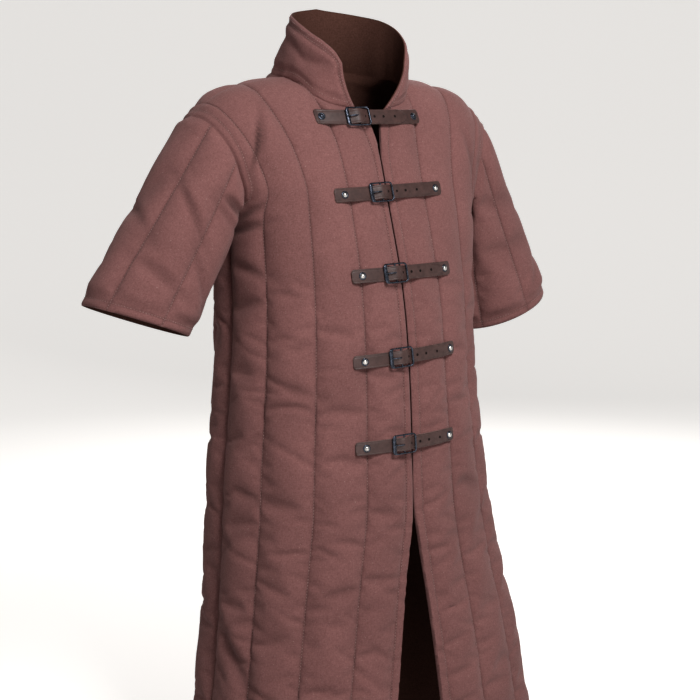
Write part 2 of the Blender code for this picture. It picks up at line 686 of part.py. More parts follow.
def join_seams(normals, back_columns):
    """Match the directions along every seam of the shell."""
    right, left, back = normals["front_right"], normals["front_left"], normals["back"]
    below = slice(0, -YOKE_ROWS)
    share_directions(
        (
            (right, (below, -1), back, (below, 0)),
            (left, (below, -1), back, (below, -1)),
        )
    )
    ridge = right.shape[1] - FRONT_NECK_COLUMN
    across = slice(FRONT_NECK_COLUMN, None)
    right_ridge, left_ridge = slice(ridge - 1, None, -1), slice(back_columns - ridge, None)
    share_directions(
        (
            (right, (-1, across), back, (-1, right_ridge)),
            (left, (-1, across), back, (-1, left_ridge)),
        )
    )
    for name, front, column in (("sleeve_right", right, 0), ("sleeve_left", left, -1)):
        sleeve = normals[name]
        up = slice(-YOKE_ROWS - 1, None)
        body = np.concatenate([front[up, -1], back[up, column][::-1][1:-1]])
        both = unit(body + sleeve[0])
        sleeve[0] = both
        front[up, -1] = both[: YOKE_ROWS + 1]
        back[up, column] = np.concatenate([both[:1], both[YOKE_ROWS:][::-1]])
    collar, middle = normals["collar"], back_columns // 2
    nape = slice(middle - BACK_NECK_COLUMN, middle + BACK_NECK_COLUMN + 1)
    n = FRONT_NECK_COLUMN
    body = np.concatenate([right[-1, :n], back[-1, nape], left[-1, :n][::-1]])
    both = unit(body + collar[0])
    collar[0] = both
    right[-1, : n + 1] = both[: n + 1]
    back[-1, nape] = both[n:-n]
    left[-1, : n + 1] = both[-n - 1 :][::-1]


def quilted_shell(material):
    """Fronts, back, sleeves and collar as padded walls."""
    grids, normals = cloth_panels()
    front_fill = padding_profile(grids["front_right"].shape[1], FRONT_STITCHES)
    front_fill[:2] = BAND_FILL
    middle = grids["back"].shape[1] // 2
    back_stitches = sorted({middle + sign * c for c in BACK_STITCHES for sign in (-1, 1)})
    back_fill = padding_profile(grids["back"].shape[1], back_stitches)
    thickness = {
        "front_right": wall_thickness(
            "front_right", grids["front_right"], front_fill, FRONT_STITCHES
        ),
        "front_left": wall_thickness("front_left", grids["front_left"], front_fill, FRONT_STITCHES),
        "back": wall_thickness("back", grids["back"], back_fill, back_stitches),
        "collar": collar_thickness(grids["collar"]),
    }
    for sleeve in SLEEVES:
        thickness[sleeve.name] = sleeve_thickness(grids[sleeve.name])
    trees = {name: inner_tree(grid, name.startswith("sleeve")) for name, grid in grids.items()}
    for name, grid in grids.items():
        closed = name.startswith("sleeve")
        others = [tree for other, tree in trees.items() if other != name]
        fitted = fitted_thickness(grid, normals[name], thickness[name], others)
        wall_object(Panel(name, grid, normals[name], fitted, closed), material)
    return grids, normals


def inner_tree(grid, closed):
    """A search tree over a panel's inner surface."""
    rows, columns = grid.shape[:2]
    spans = columns if closed else columns - 1
    faces = []
    for r in range(rows - 1):
        for c in range(spans):
            d = (c + 1) % columns
            faces.append((r * columns + c, r * columns + d, (r + 1) * columns + d, (r + 1) * columns + c))
    return BVHTree.FromPolygons([tuple(point) for point in grid.reshape(-1, 3)], faces)


def fitted_thickness(grid, normals, thickness, others):
    """Thin a wall beside its seams, and most where the next piece lies close in front of it."""
    fitted = thickness.copy()
    for place in np.ndindex(thickness.shape):
        for tree in others:
            nearest, _, _, distance = tree.find_nearest(tuple(grid[place]), ROOM_REACH)
            if nearest is None or distance < SEAM_GAP:
                continue
            in_front = (np.array(nearest) - grid[place]) @ normals[place] / distance
            share = OPEN_SHARE + (HOLLOW_SHARE - OPEN_SHARE) * min(1, max(0, in_front / HOLLOW_FROM))
            fitted[place] = min(fitted[place], max(LEAST_WALL, share * distance))
    return fitted


def sleeve_thickness(grid):
    """A sleeve's wall: channels down its length, flat at the armhole and at the cuff's hem."""
    rings, count = grid.shape[:2]
    around = np.arange(count)
    place = ((around - SLEEVE_STITCHES[0]) % 4) / 4
    fill = np.sqrt(1 - (2 * place - 1) ** 2)
    ring_fill = np.ones(rings)
    ring_fill[0] = 0
    ring_fill[-2:] = CUFF_FILL
    return SEAM_THICKNESS + PADDING * ring_fill[:, None] * fill[None, :]


def collar_thickness(grid):
    """The collar's wall: a little wadding, pressed flat at its seam and its edges."""
    count = grid.shape[1]
    row_fill = np.array(COLLAR_ROW_FILL)
    column_fill = np.ones(count)
    column_fill[:2] = COLLAR_EDGE_FILL
    column_fill[-2:] = COLLAR_EDGE_FILL[::-1]
    return SEAM_THICKNESS + COLLAR_PADDING * row_fill[:, None] * column_fill[None, :]


def linings(grids, normals, material):
    """The dark linings that show: behind the back, and inside the collar."""
    chosen = np.ix_(LINING_ROWS, LINING_COLUMNS)
    back, back_normals = grids["back"][chosen], normals["back"][chosen]
    clearance = np.full(back.shape[:2] + (1,), LINING_CLEARANCE)
    clearance[-1] = SEAM_GAP
    lining_wall("lining_back", back, back_normals, clearance, material)
    lining_wall("lining_collar", grids["collar"], normals["collar"], SEAM_GAP, material)


def lining_wall(name, grid, normals, clearance, material):
    """A thin wall inside a panel's inner points."""
    base = grid - normals * (clearance + LINING_THICKNESS)
    thickness = np.full(grid.shape[:2], LINING_THICKNESS)
    wall_object(Panel(name, base, normals, thickness, False), material)


# ---------------------------------------------------------------- straps and buckles
def on_front(closure, across, up, height):
    """A point over the front: across from the middle, up from the closure, out from the wadding."""
    x = np.asarray(across, float)
    z = closure.z + up + closure.rise * x
    step = SLOPE_STEP
    side = np.where(x < 0, -1, 1)
    y = np.where(side < 0, torso_y(-1, -1, x, z), torso_y(1, -1, x, z))
    y_across = torso_y(1, -1, x + step, z) - torso_y(1, -1, x - step, z)
    y_up = torso_y(1, -1, x, z + step) - torso_y(1, -1, x, z - step)
    normal = unit(np.stack([y_across / (2 * step), -np.ones_like(x), y_up / (2 * step)], axis=-1))
    lift = SEAM_THICKNESS + PADDING + SWELL_HEIGHT + STRAP_LIFT + height
    return np.stack([x, y, z], axis=-1) + normal * np.asarray(lift)[..., None]


def strip_object(name, closure, path, half_widths, thickness, material):
    """A leather strip along a path of (across, height) pairs, as wide as half_widths say."""
    path = np.array(path)
    run = np.gradient(path, axis=0)
    sideways = unit(np.stack([-run[:, 1], run[:, 0]], axis=-1))
    mesh = bmesh.new()
    rings = []
    for (across, height), out, half in zip(path, sideways, half_widths):
        ring = []
        for up in (-half, 0, half):
            ring.append(on_front(closure, across, up, height))
        for up in (half, 0, -half):
            ring.append(on_front(closure, across + out[0] * thickness, up, height + out[1] * thickness))
        rings.append([mesh.verts.new(p) for p in ring])
    for first, second in zip(rings, rings[1:]):
        for i in range(6):
            j = (i + 1) % 6
            mesh.faces.new((first[i], first[j], second[j], second[i]))
    for ring in (rings[0], rings[-1]):
        mesh.faces.new((ring[0], ring[1], ring[4], ring[5]))
        mesh.faces.new((ring[1], ring[2], ring[3], ring[4]))
    return mesh_object(name, mesh, material)


def strap_half_widths(path, start_rounding, tip_length):
    """Half widths along a strap: rounded at its riveted end, pointed at its tip."""
    half = STRAP_WIDTH / 2
    run = np.concatenate([[0], np.cumsum(np.hypot(*np.diff(np.array(path), axis=0).T))])
    widths = []
    for s in run:
        rounded = half
        if s < start_rounding:
            rounded = half - start_rounding + math.sqrt(start_rounding**2 - (start_rounding - s) ** 2)
        left = run[-1] - s
        if left < tip_length:
            rounded = min(rounded, TIP_HALF_WIDTH + (half - TIP_HALF_WIDTH) * math.sqrt(left / tip_length))
        widths.append(rounded)
    return widths


def route(closure, points):
    """A table's points as (across, height) pairs for one closure."""
    return [(getattr(closure, point.past) + point.along, point.height) for point in points]


def strap_path(closure):
    """The strap's underside: flat from its rivet, over the middle bar, then along the tab to its tip."""
    return route(closure, STRAP_ROUTE)


def tab_path(closure):
    """The tab's outer face: back from its rivet, then round the middle bar."""
    radius = BUCKLE_WIRE + SEAM_GAP + TAB_THICKNESS
    path = route(closure, TAB_ROUTE)
    for step in range(TAB_TURN_STEPS + 1):
        turn = math.pi * step / TAB_TURN_STEPS
        across = closure.buckle - radius * math.sin(turn)
        path.append((across, BAR_HEIGHT - radius * math.cos(turn)))
    path.append((closure.buckle + TAB_RETURN, BAR_HEIGHT + radius))
    return path


def local_frame(closure, across, height):
    """A matrix with x along the strap, y up the front and z out of it, at a point of the closure."""
    here = on_front(closure, np.array(across), 0, height)
    x_axis = unit(on_front(closure, np.array(across + 0.01), 0, height) - here)
    up = unit(on_front(closure, np.array(across), 0.01, height) - here)
    out = unit(np.cross(x_axis, up))
    up = np.cross(out, x_axis)
    matrix = Matrix.Identity(4)
    for i, axis in enumerate((x_axis, up, out, here)):
        for j in range(3):
            matrix[j][i] = axis[j]
    return matrix


def wire_object(name, points, radius, cyclic, resolution):
    """A bent wire through the points, as a mesh with welded caps."""
    curve = bpy.data.curves.new(name, "CURVE")
    curve.dimensions = "3D"
    curve.bevel_depth = radius
    curve.bevel_resolution = resolution
    curve.use_fill_caps = True
    spline = curve.splines.new("POLY")
    spline.points.add(len(points) - 1)
    for point, place in zip(spline.points, points):
        point.co = (*place, 1)
    spline.use_cyclic_u = cyclic
    bent = bpy.data.objects.new(name + "_curve", curve)
    bpy.data.collections[COLLECTION].objects.link(bent)
    graph = bpy.context.evaluated_depsgraph_get()
    graph.update()
    data = bpy.data.meshes.new_from_object(bent.evaluated_get(graph))
    mesh = bmesh.new()
    mesh.from_mesh(data)
    bmesh.ops.remove_doubles(mesh, verts=mesh.verts, dist=0.00001)
    bpy.data.meshes.remove(data)
    bpy.data.objects.remove(bent)
    bpy.data.curves.remove(curve)
    return mesh


def buckle_object(name, closure, material):
    """A buckle: a rounded rectangle of wire with a middle bar, raised a little over the tab's side."""
    half_length, half_height = HALF_BUCKLE, BUCKLE_HEIGHT / 2
    outline = []
    for corner, (x_sign, y_sign) in enumerate(((1, 1), (-1, 1), (-1, -1), (1, -1))):
        for step in range(BUCKLE_CORNER_STEPS + 1):
            turn = math.pi / 2 * (corner + step / BUCKLE_CORNER_STEPS)
            x = x_sign * (half_length - BUCKLE_CORNER) + BUCKLE_CORNER * math.cos(turn)
            y = y_sign * (half_height - BUCKLE_CORNER) + BUCKLE_CORNER * math.sin(turn)
            side_height = LEFT_BAR_HEIGHT if x < 0 else RIGHT_BAR_HEIGHT
            share = min(1, abs(x) / half_length)
            outline.append((x, y, BAR_HEIGHT + (side_height - BAR_HEIGHT) * share))
    place = local_frame(closure, closure.buckle, 0.0)
    ring = mesh_object(name, wire_object(name, outline, BUCKLE_WIRE, True, 1), material)
    bar_points = [(0, -half_height, BAR_HEIGHT), (0, half_height, BAR_HEIGHT)]
    bar = mesh_object(name + "_bar", wire_object(name + "_bar", bar_points, BUCKLE_WIRE, False, 1), material)
    bpy.data.collections[COLLECTION].objects.unlink(bar)
    bpy.data.collections[CUTTERS].objects.link(bar)
    bar.hide_render = True
    bar.display_type = "WIRE"
    ring.matrix_world = place
    bar.matrix_world = place
    joined = ring.modifiers.new("middle bar", "BOOLEAN")
    joined.operation = "UNION"
    joined.object = bar
    return ring


def prong_object(name, closure, material):
    """The prong: from the strap's hole to its rest on the left bar."""
    points = [(across - closure.buckle, 0, height) for across, height in route(closure, PRONG_ROUTE)]
    prong = mesh_object(name, wire_object(name, points, PRONG_WIRE, False, 1), material)
    prong.matrix_world = local_frame(closure, closure.buckle, 0.0)
    return prong


def rivet_object(name, closure, across, height, material):
    """A domed rivet head, turned from a short profile."""
    profile = bmesh.new()
    points = [(point.radius * RIVET_RADIUS, 0, point.height * RIVET_HEIGHT) for point in RIVET_PROFILE]
    verts = [profile.verts.new(p) for p in points]
    for a, b in zip(verts, verts[1:]):
        profile.edges.new((a, b))
    bmesh.ops.spin(
        profile,
        geom=profile.verts[:] + profile.edges[:],
        axis=(0, 0, 1),
        cent=(0, 0, 0),
        angle=2 * math.pi,
        steps=RIVET_STEPS,
        use_merge=True,
    )
    bmesh.ops.remove_doubles(profile, verts=profile.verts, dist=0.00001)
    rivet = mesh_object(name, profile, material)
    rivet.matrix_world = local_frame(closure, across, height + SEAM_GAP)
    return rivet


def closures(leather, gunmetal, steel):
    """Every strap with its tab, buckle, prong and rivets."""
    for number, closure in enumerate(CLOSURES, start=1):
        path = strap_path(closure)
        halves = strap_half_widths(path, END_ROUNDING, STRAP_TIP_LENGTH)
        strip_object(f"strap_{number}", closure, path, halves, STRAP_THICKNESS, leather)
        path = tab_path(closure)
        halves = strap_half_widths(path, END_ROUNDING, 0.0)
        narrow = TAB_TURN_WIDTH * STRAP_WIDTH / 2
        halves = [half if i < len(TAB_ROUTE) else narrow for i, half in enumerate(halves)]
        strip_object(f"tab_{number}", closure, path, halves, -TAB_THICKNESS, leather)
        buckle_object(f"buckle_{number}", closure, gunmetal)
        prong_object(f"prong_{number}", closure, gunmetal)
        at = closure.strap_end + closure.rivet_inset
        rivet_object(f"rivet_strap_{number}", closure, at, STRAP_THICKNESS, steel)
        at = closure.tab_end - TAB_RIVET_INSET
        covered = closure.tip > at - RIVET_RADIUS
        level = STRAP_OVER_TAB + STRAP_THICKNESS if covered else TAB_THICKNESS
        rivet_object(f"rivet_tab_{number}", closure, at, level, steel)


# ---------------------------------------------------------------- materials and scene
def plain_material(finish):
    """A plain Principled material."""
    material = bpy.data.materials.new(finish.name)
    material.use_nodes = True
    shader = material.node_tree.nodes["Principled BSDF"]
    shader.inputs["Base Color"].default_value = (*finish.colour, 1)
    shader.inputs["Roughness"].default_value = finish.roughness
    shader.inputs["Metallic"].default_value = finish.metallic
    return material


def clear_scene():
    """Remove what the scene starts with, and make the part's collections."""
    for thing in list(bpy.data.objects):
        bpy.data.objects.remove(thing, do_unlink=True)
    for name in (COLLECTION, CUTTERS):
        collection = bpy.data.collections.new(name)
        bpy.context.scene.collection.children.link(collection)


def main():
    """Build the whole gambeson."""
    clear_scene()
    grids, normals = quilted_shell(plain_material(CANVAS))
    linings(grids, normals, plain_material(LINING))
    closures(plain_material(LEATHER), plain_material(GUNMETAL), plain_material(STEEL))


main()
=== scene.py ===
"""The looks of a quilted gambeson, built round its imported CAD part.

A padded coat with half sleeves, a stand collar and five buckled straps, hollow and in its worn
shape. Metres, +Z up. The front faces -Y and the wearer's right is -X. The origin lies between the
shoulders, at the height of the neck points.
"""

import logging
import math
from dataclasses import dataclass, field
from enum import Enum
from typing import Iterable, Sequence

import bmesh
import bpy
import numpy as np
from mathutils import Matrix, Vector
from mathutils.bvhtree import BVHTree
from numpy.typing import NDArray


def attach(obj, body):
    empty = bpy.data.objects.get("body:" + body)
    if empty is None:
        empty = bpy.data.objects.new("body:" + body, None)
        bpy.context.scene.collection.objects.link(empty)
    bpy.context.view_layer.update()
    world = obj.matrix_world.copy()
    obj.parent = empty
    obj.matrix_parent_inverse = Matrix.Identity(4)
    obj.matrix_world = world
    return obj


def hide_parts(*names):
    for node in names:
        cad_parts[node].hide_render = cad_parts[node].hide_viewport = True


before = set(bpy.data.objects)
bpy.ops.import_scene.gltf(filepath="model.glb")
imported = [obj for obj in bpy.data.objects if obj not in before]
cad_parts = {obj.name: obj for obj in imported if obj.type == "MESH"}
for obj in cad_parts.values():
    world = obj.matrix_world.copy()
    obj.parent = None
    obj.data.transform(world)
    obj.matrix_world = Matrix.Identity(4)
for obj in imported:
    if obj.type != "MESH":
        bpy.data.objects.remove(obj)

log = logging.getLogger("gambeson")
Array = NDArray[np.float64]
Tree = bpy.types.NodeTree
Node = bpy.types.Node
Material = bpy.types.Material
Object = bpy.types.Object
BMesh = bmesh.types.BMesh

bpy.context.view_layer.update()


class Side(Enum):
    """The wearer's right or left."""

    RIGHT = -1
    LEFT = 1

    @property
    def front(self) -> str:
        """The front panel on this side."""
        return f"front_{self.name.lower()}"

    @property
    def back_column(self) -> int:
        """The back panel's column at this side's seam."""
        return min(0, -self.value)


class Facing(Enum):
    """The front or the back of the torso."""

    FRONT = -1
    BACK = 1


# ---- tables and curves
@dataclass(frozen=True)
class Section:
    """One level of the torso's plain inner surface."""

    z: float
    right: float
    left: float
    front: float
    back: float
    front_square: float
    back_square: float


@dataclass(frozen=True)
class Point:
    """A row of a two-column table: where it is read, and its value there."""

    at: float
    value: float


def points(*rows: tuple[float, float]) -> tuple[Point, ...]:
    """A two-column table."""
    return tuple(Point(*row) for row in rows)


@dataclass(frozen=True)
class SleeveSize:
    """Where a sleeve's cuff is centred, and how its opening leans."""

    name: str
    side: Side
    cuff: tuple[float, float, float]
    lean: float
    cap: float


@dataclass(frozen=True)
class ClosureSize:
    """One closure across the front: its height, its parts' places across, and its rise."""

    z: float
    strap_end: float
    rivet_inset: float
    buckle: float
    tip: float
    tab_end: float
    rise: float


SECTIONS = (
    Section(-1.120, 0.274, 0.337, 0.207, 0.180, 2.55, 2.10),
    Section(-1.050, 0.266, 0.325, 0.203, 0.176, 2.50, 2.10),
    Section(-0.900, 0.247, 0.294, 0.196, 0.168, 2.45, 2.10),
    Section(-0.750, 0.236, 0.252, 0.186, 0.162, 2.35, 2.10),
    Section(-0.600, 0.2275, 0.226, 0.180, 0.158, 2.25, 2.10),
    Section(-0.450, 0.214, 0.207, 0.171, 0.156, 2.20, 2.10),
    Section(-0.360, 0.210, 0.2115, 0.160, 0.157, 2.25, 2.15),
    Section(-0.270, 0.213, 0.216, 0.140, 0.157, 2.40, 2.30),
    Section(-0.195, 0.222, 0.224, 0.116, 0.155, 2.80, 2.60),
    Section(-0.170, 0.239, 0.239, 0.110, 0.154, 2.70, 2.50),
    Section(-0.145, 0.256, 0.256, 0.105, 0.152, 2.50, 2.40),
    Section(-0.110, 0.296, 0.296, 0.100, 0.150, 2.35, 2.25),
    Section(-0.050, 0.345, 0.345, 0.096, 0.148, 2.30, 2.20),
    Section(0.050, 0.380, 0.380, 0.094, 0.146, 2.30, 2.20),
)
# Height, and half of the opening between the front edges.
FRONT_GAPS = points(
    (-1.120, 0.0600), (-1.050, 0.0525), (-0.957, 0.0415), (-0.875, 0.0315), (-0.800, 0.0215),
    (-0.705, 0.0065), (-0.660, 0.0002), (-0.400, 0.0002), (-0.120, 0.0002), (-0.095, 0.0050),
    (-0.072, 0.0105), (-0.052, 0.0270),
)
# Column of a half panel, and where it meets the top edge.
FRONT_TOP = points(
    (0, 0.027), (2, 0.041), (4, 0.076), (5, 0.088), (6, 0.0965), (7, 0.100), (10, 0.180), (14, 0.245),
    (18, 0.268),
)
# The same, on the back.
BACK_TOP = points((0, 0.000), (4, 0.090), (5, 0.100), (8, 0.180), (12, 0.245), (16, 0.268))
# Place across, and the height of the neckline or shoulder ridge there.
NECK_FRONT = points(
    (0.027, -0.052), (0.058, -0.046), (0.076, -0.040), (0.088, -0.030), (0.0965, -0.0105), (0.100, -0.004),
)
# The same, on the back.
NECK_BACK = points((0.000, 0.018), (0.050, 0.014), (0.090, 0.003), (0.100, -0.004))
# The same, along the shoulder.
RIDGE = points((0.100, -0.004), (0.190, -0.018), (0.240, -0.040), (0.268, -0.062))
# Angle from the centre front, and the height of the collar's top edge.
COLLAR_TOP = points(
    (42, 0.018), (47, 0.031), (60, 0.050), (75, 0.064), (90, 0.077), (105, 0.087), (135, 0.098),
    (180, 0.108),
)
SLEEVES = (
    SleeveSize("sleeve_right", Side.RIGHT, (0.371, 0.018, -0.364), 19.5, -0.003),
    SleeveSize("sleeve_left", Side.LEFT, (0.343, 0.018, -0.393), 22.0, -0.005),
)
CLOSURES = (
    ClosureSize(-0.068, -0.107, 0.0120, -0.036, 0.056, 0.084, 0.00),
    ClosureSize(-0.180, -0.102, 0.0165, -0.020, 0.078, 0.100, 0.03),
    ClosureSize(-0.301, -0.091, 0.0160, -0.019, 0.074, 0.092, 0.02),
    ClosureSize(-0.425, -0.098, 0.0165, -0.023, 0.080, 0.086, 0.05),
    ClosureSize(-0.557, -0.101, 0.0160, -0.024, 0.066, 0.076, 0.03),
)


def hermite(xs: Array, ys: Array, at: Array) -> Array:
    """A smooth curve through rows of values.

    Args:
        xs: where the rows lie, rising.
        ys: one value or array of values for each row.
        at: where to read the curve.

    Returns:
        The values at each of those places.
    """
    slopes = np.gradient(ys, xs, axis=0)
    at = np.clip(np.asarray(at, float), xs[0], xs[-1])
    i = np.clip(np.searchsorted(xs, at, side="right") - 1, 0, len(xs) - 2)
    width = xs[i + 1] - xs[i]
    t = (at - xs[i]) / width
    shape = at.shape + (1,) * (ys.ndim - 1)
    t, width = t.reshape(shape), width.reshape(shape)
    start = (2 * t**3 - 3 * t**2 + 1) * ys[i] + (t**3 - 2 * t**2 + t) * width * slopes[i]
    end = (3 * t**2 - 2 * t**3) * ys[i + 1] + (t**3 - t**2) * width * slopes[i + 1]
    return start + end


class Table:
    """Rows of one kind of record, read as curves."""

    def __init__(self, rows: Sequence[object], key: str = "at") -> None:
        """Keep the rows and the column that they are read by."""
        self.rows = rows
        self.keys = self.column(key)

    def column(self, name: str) -> Array:
        """One column's values."""
        return np.array([getattr(row, name) for row in self.rows], float)

    def smooth(self, at: Array | float, name: str = "value") -> Array:
        """A column read in a smooth curve."""
        return hermite(self.keys, self.column(name), np.asarray(at, float))

    def straight(self, at: Array | float) -> Array:
        """The values read in straight lines."""
        return np.interp(at, self.keys, self.column("value"))


def unit(vectors: Array) -> Array:
    """The same directions, one metre long."""
    return vectors / np.linalg.norm(vectors, axis=-1, keepdims=True)


def ease(t: Array | float) -> Array | float:
    """A slow start and a slow end between 0 and 1."""
    return t * t * (3 - 2 * t)


def step_up(value: Array | float, start: float, end: float) -> Array | float:
    """Rise smoothly from 0 at start to 1 at end."""
    return ease(np.clip((value - start) / (end - start), 0, 1))


def peak(value: Array, at: float, reach: float) -> Array:
    """1 at a place, falling in straight lines to 0 at this reach from it."""
    return (1 - np.abs(value - at) / reach).clip(0, 1)


def trace(value: Array, at: float, width: float) -> Array:
    """1 at a place, fading softly on both sides."""
    return np.exp(-(((value - at) / width) ** 2))


def rounded(distance: Array, radius: float) -> Array:
    """Rise from 0 at an edge to 1 as a quarter of a circle does."""
    return np.sqrt(1 - np.clip(1 - distance / radius, 0, 1) ** 2)


def run_lengths(x: Array, y: Array, z: Array) -> Array:
    """How far along a line each of its points lies."""
    steps = np.sqrt(np.diff(x) ** 2 + np.diff(y) ** 2 + np.diff(z) ** 2)
    return np.concatenate([[0], np.cumsum(steps)])


def read_line(at: Array, run: Array, values: Array) -> Array:
    """Rows of values along a line, read at other places along it."""
    return np.stack([np.interp(at, run, column) for column in values.T], axis=-1)


def placed(name: str, data: bpy.types.ID) -> Object:
    """An object of this data, in the scene."""
    thing = bpy.data.objects.new(name, data)
    bpy.context.scene.collection.objects.link(thing)
    return thing


def turned(mesh: BMesh, profile: Iterable[tuple[float, float]], steps: int) -> None:
    """Turn a profile of (radius, height) pairs round the z axis.

    Args:
        mesh: where it is made.
        profile: the pairs, from one end to the other.
        steps: how many steps go round.
    """
    verts = [mesh.verts.new((radius, 0, height)) for radius, height in profile]
    geom = verts + [mesh.edges.new(pair) for pair in zip(verts, verts[1:])]
    bmesh.ops.spin(
        mesh, geom=geom, axis=(0, 0, 1), cent=(0, 0, 0), angle=2 * math.pi, steps=steps, use_merge=True
    )


# ---- the garment's form
@dataclass(frozen=True)
class TorsoForm:
    """The torso's plain inner surface, and its half panels as coarse grids of points."""

    hem_z: float = -1.120
    armpit_z: float = -0.195
    shoulder_seam_y: float = 0.020
    hem_stitch: float = 0.014
    neck_radius: float = 0.100
    skirt_rows: int = 22
    yoke_rows: int = 12
    armhole_bow: float = 0.008
    armhole_rise: float = 0.35
    armhole_squeeze: int = 3
    spacing_rounds: int = 12
    front_neck_column: int = 7
    back_neck_column: int = 5
    front_ridge_lift: float = 0.034
    back_ridge_lift: float = 0.127
    edge_band_share: float = 0.045
    channels: int = 4
    sections: Table = field(default_factory=lambda: Table(SECTIONS, "z"))
    ridge: Table = field(default_factory=lambda: Table(RIDGE))
    gaps: Table = field(default_factory=lambda: Table(FRONT_GAPS))

    def half_width(self, side: Side, z: Array | float) -> Array:
        """The torso's half width on one side."""
        return self.sections.smooth(z, side.name.lower())

    def ridge_height(self, x: Array, lift: float) -> Array:
        """The top of the torso above x: the shoulder's slope, with a dome over the neck."""
        dome = lift * np.clip(1 - (x / self.neck_radius) ** 2, 0, None)
        return self.ridge.smooth(np.maximum(x, self.neck_radius)) + dome

    def y_at(self, side: Side, facing: Facing, x: Array, z: Array) -> Array:
        """Depth of the plain inner surface over (x, z).

        Args:
            side: the wearer's side.
            facing: the front or the back.
            x: places across.
            z: their heights.

        Returns:
            The depths, negative on the front.
        """
        x = np.abs(x)
        back = facing is Facing.BACK
        depth, square = (self.sections.smooth(z, facing.name.lower() + end) for end in ("", "_square"))
        share = np.clip(x / self.half_width(side, z), 0, 1)
        y = facing.value * depth * (1 - share**square) ** (1 / square)
        top = self.ridge_height(x, self.back_ridge_lift if back else self.front_ridge_lift)
        climb = np.clip((z - self.armpit_z) / (top - self.armpit_z), 0, 1)
        return self.shoulder_seam_y + (y - self.shoulder_seam_y) * np.sqrt(1 - climb**2)

    def gap(self, z: Array | float) -> Array:
        """Half of the opening between the fronts at this height."""
        return self.gaps.straight(z)

    def skirt_row(self, side: Side, facing: Facing, z: float, first_x: float, shares: Array) -> Array:
        """One level row below the armpit, from first_x to the side seam.

        Args:
            side: the wearer's side.
            facing: the front or the back.
            z: the row's height.
            first_x: where it starts, across.
            shares: how far along the row each column lies.

        Returns:
            The row's points.
        """
        square = float(self.sections.smooth(z, facing.name.lower() + "_square"))
        width = float(self.half_width(side, z))
        start = math.asin(min(1, (first_x / width) ** (square / 2)))
        turn = np.linspace(start, math.pi / 2, 241)
        x = width * np.sin(turn) ** (2 / square)
        y = self.y_at(side, facing, x, np.full_like(x, z))
        y[-1] = 0
        run = run_lengths(x, y, np.zeros_like(x))
        x_at = np.interp(shares * run[-1], run, x)
        y_at = np.interp(shares * run[-1], run, y)
        return np.stack([side.value * x_at, y_at, np.full_like(x_at, z)], axis=-1)

    def row_heights(self) -> Array:
        """The rows' heights, the yoke's as if they were level."""
        skirt = np.linspace(self.hem_z + self.hem_stitch, self.armpit_z, self.skirt_rows)
        yoke = self.armpit_z + 0.190 * np.arange(1, self.yoke_rows + 1) / self.yoke_rows
        return np.concatenate([[self.hem_z], skirt, yoke])

    def half_panel(self, side: Side, facing: Facing, shares: Array) -> Array:
        """A half panel's inner points.

        Args:
            side: the wearer's side that it covers.
            facing: the front or the back.
            shares: how far across each column lies, from 0 at the centre to 1.

        Returns:
            Points by row, from hem to top, and by column, from the centre outwards.
        """
        front = facing is Facing.FRONT
        rows = []
        for z in self.row_heights()[: self.skirt_rows + 1]:
            first_x = float(self.gap(z)) if front else 0.0
            rows.append(self.skirt_row(side, facing, float(z), first_x, shares))
        columns = np.arange(len(shares))
        armpit_x = np.abs(rows[-1][:, 0])
        top_x = Table(FRONT_TOP if front else BACK_TOP).straight(columns)
        neck_z = Table(NECK_FRONT if front else NECK_BACK).straight(top_x)
        top_z = np.where(top_x <= self.neck_radius, neck_z, self.ridge.smooth(top_x))
        outward = (top_x - top_x[0]) / (top_x[-1] - top_x[0])
        armpit_run = run_lengths(*rows[-1].T)[-1]
        top_run = run_lengths(top_x, self.y_at(side, facing, top_x, top_z), top_z)
        for row in range(1, self.yoke_rows + 1):
            w = row / self.yoke_rows
            round_rise = self.armhole_rise * w
            round_rise += (1 - self.armhole_rise) * (1 - math.cos(math.pi * w)) / 2
            z = self.armpit_z + (top_z - self.armpit_z) * ((1 - outward) * w + outward * round_rise)
            centre = self.gap(z[0]) if front else 0.0
            spread = armpit_x + (top_x - armpit_x) * ease(w)
            spread -= self.armhole_bow * math.sin(math.pi * w) * outward
            spread += (centre - spread[0]) * np.clip(1 - columns / self.front_neck_column, 0, 1)
            x = spread
            for _ in range(self.spacing_rounds):
                run = run_lengths(x, self.y_at(side, facing, x, z), z)
                kept = shares * armpit_run - (armpit_run - run[-1]) * shares**self.armhole_squeeze
                target = kept + (top_run / top_run[-1] * run[-1] - kept) * ease(w)
                x = np.interp(target, run, x)
            x = x + (spread - x) * w
            if row == self.yoke_rows:
                x = top_x
            rows.append(np.stack([side.value * x, self.y_at(side, facing, x, z), z], axis=-1))
        return np.array(rows)

    def front_shares(self) -> Array:
        """Where a front's columns lie: the edge band, then equal channels."""
        band = np.array([0.0, self.edge_band_share / 2])
        first = np.linspace(self.edge_band_share, 1 / self.channels, 5)
        rest = np.linspace(1 / self.channels, 1, 4 * (self.channels - 1) + 1)
        return np.concatenate([band, first, rest[1:]])

    def front(self, side: Side) -> Array:
        """A front's inner points."""
        return self.half_panel(side, Facing.FRONT, self.front_shares())

    def back(self) -> Array:
        """The back's inner points, from the wearer's right side seam to the left one."""
        shares = np.linspace(0, 1, 4 * self.channels + 1)
        right = self.half_panel(Side.RIGHT, Facing.BACK, shares)
        left = self.half_panel(Side.LEFT, Facing.BACK, shares)
        return np.concatenate([right[:, ::-1], left[:, 1:]], axis=1)


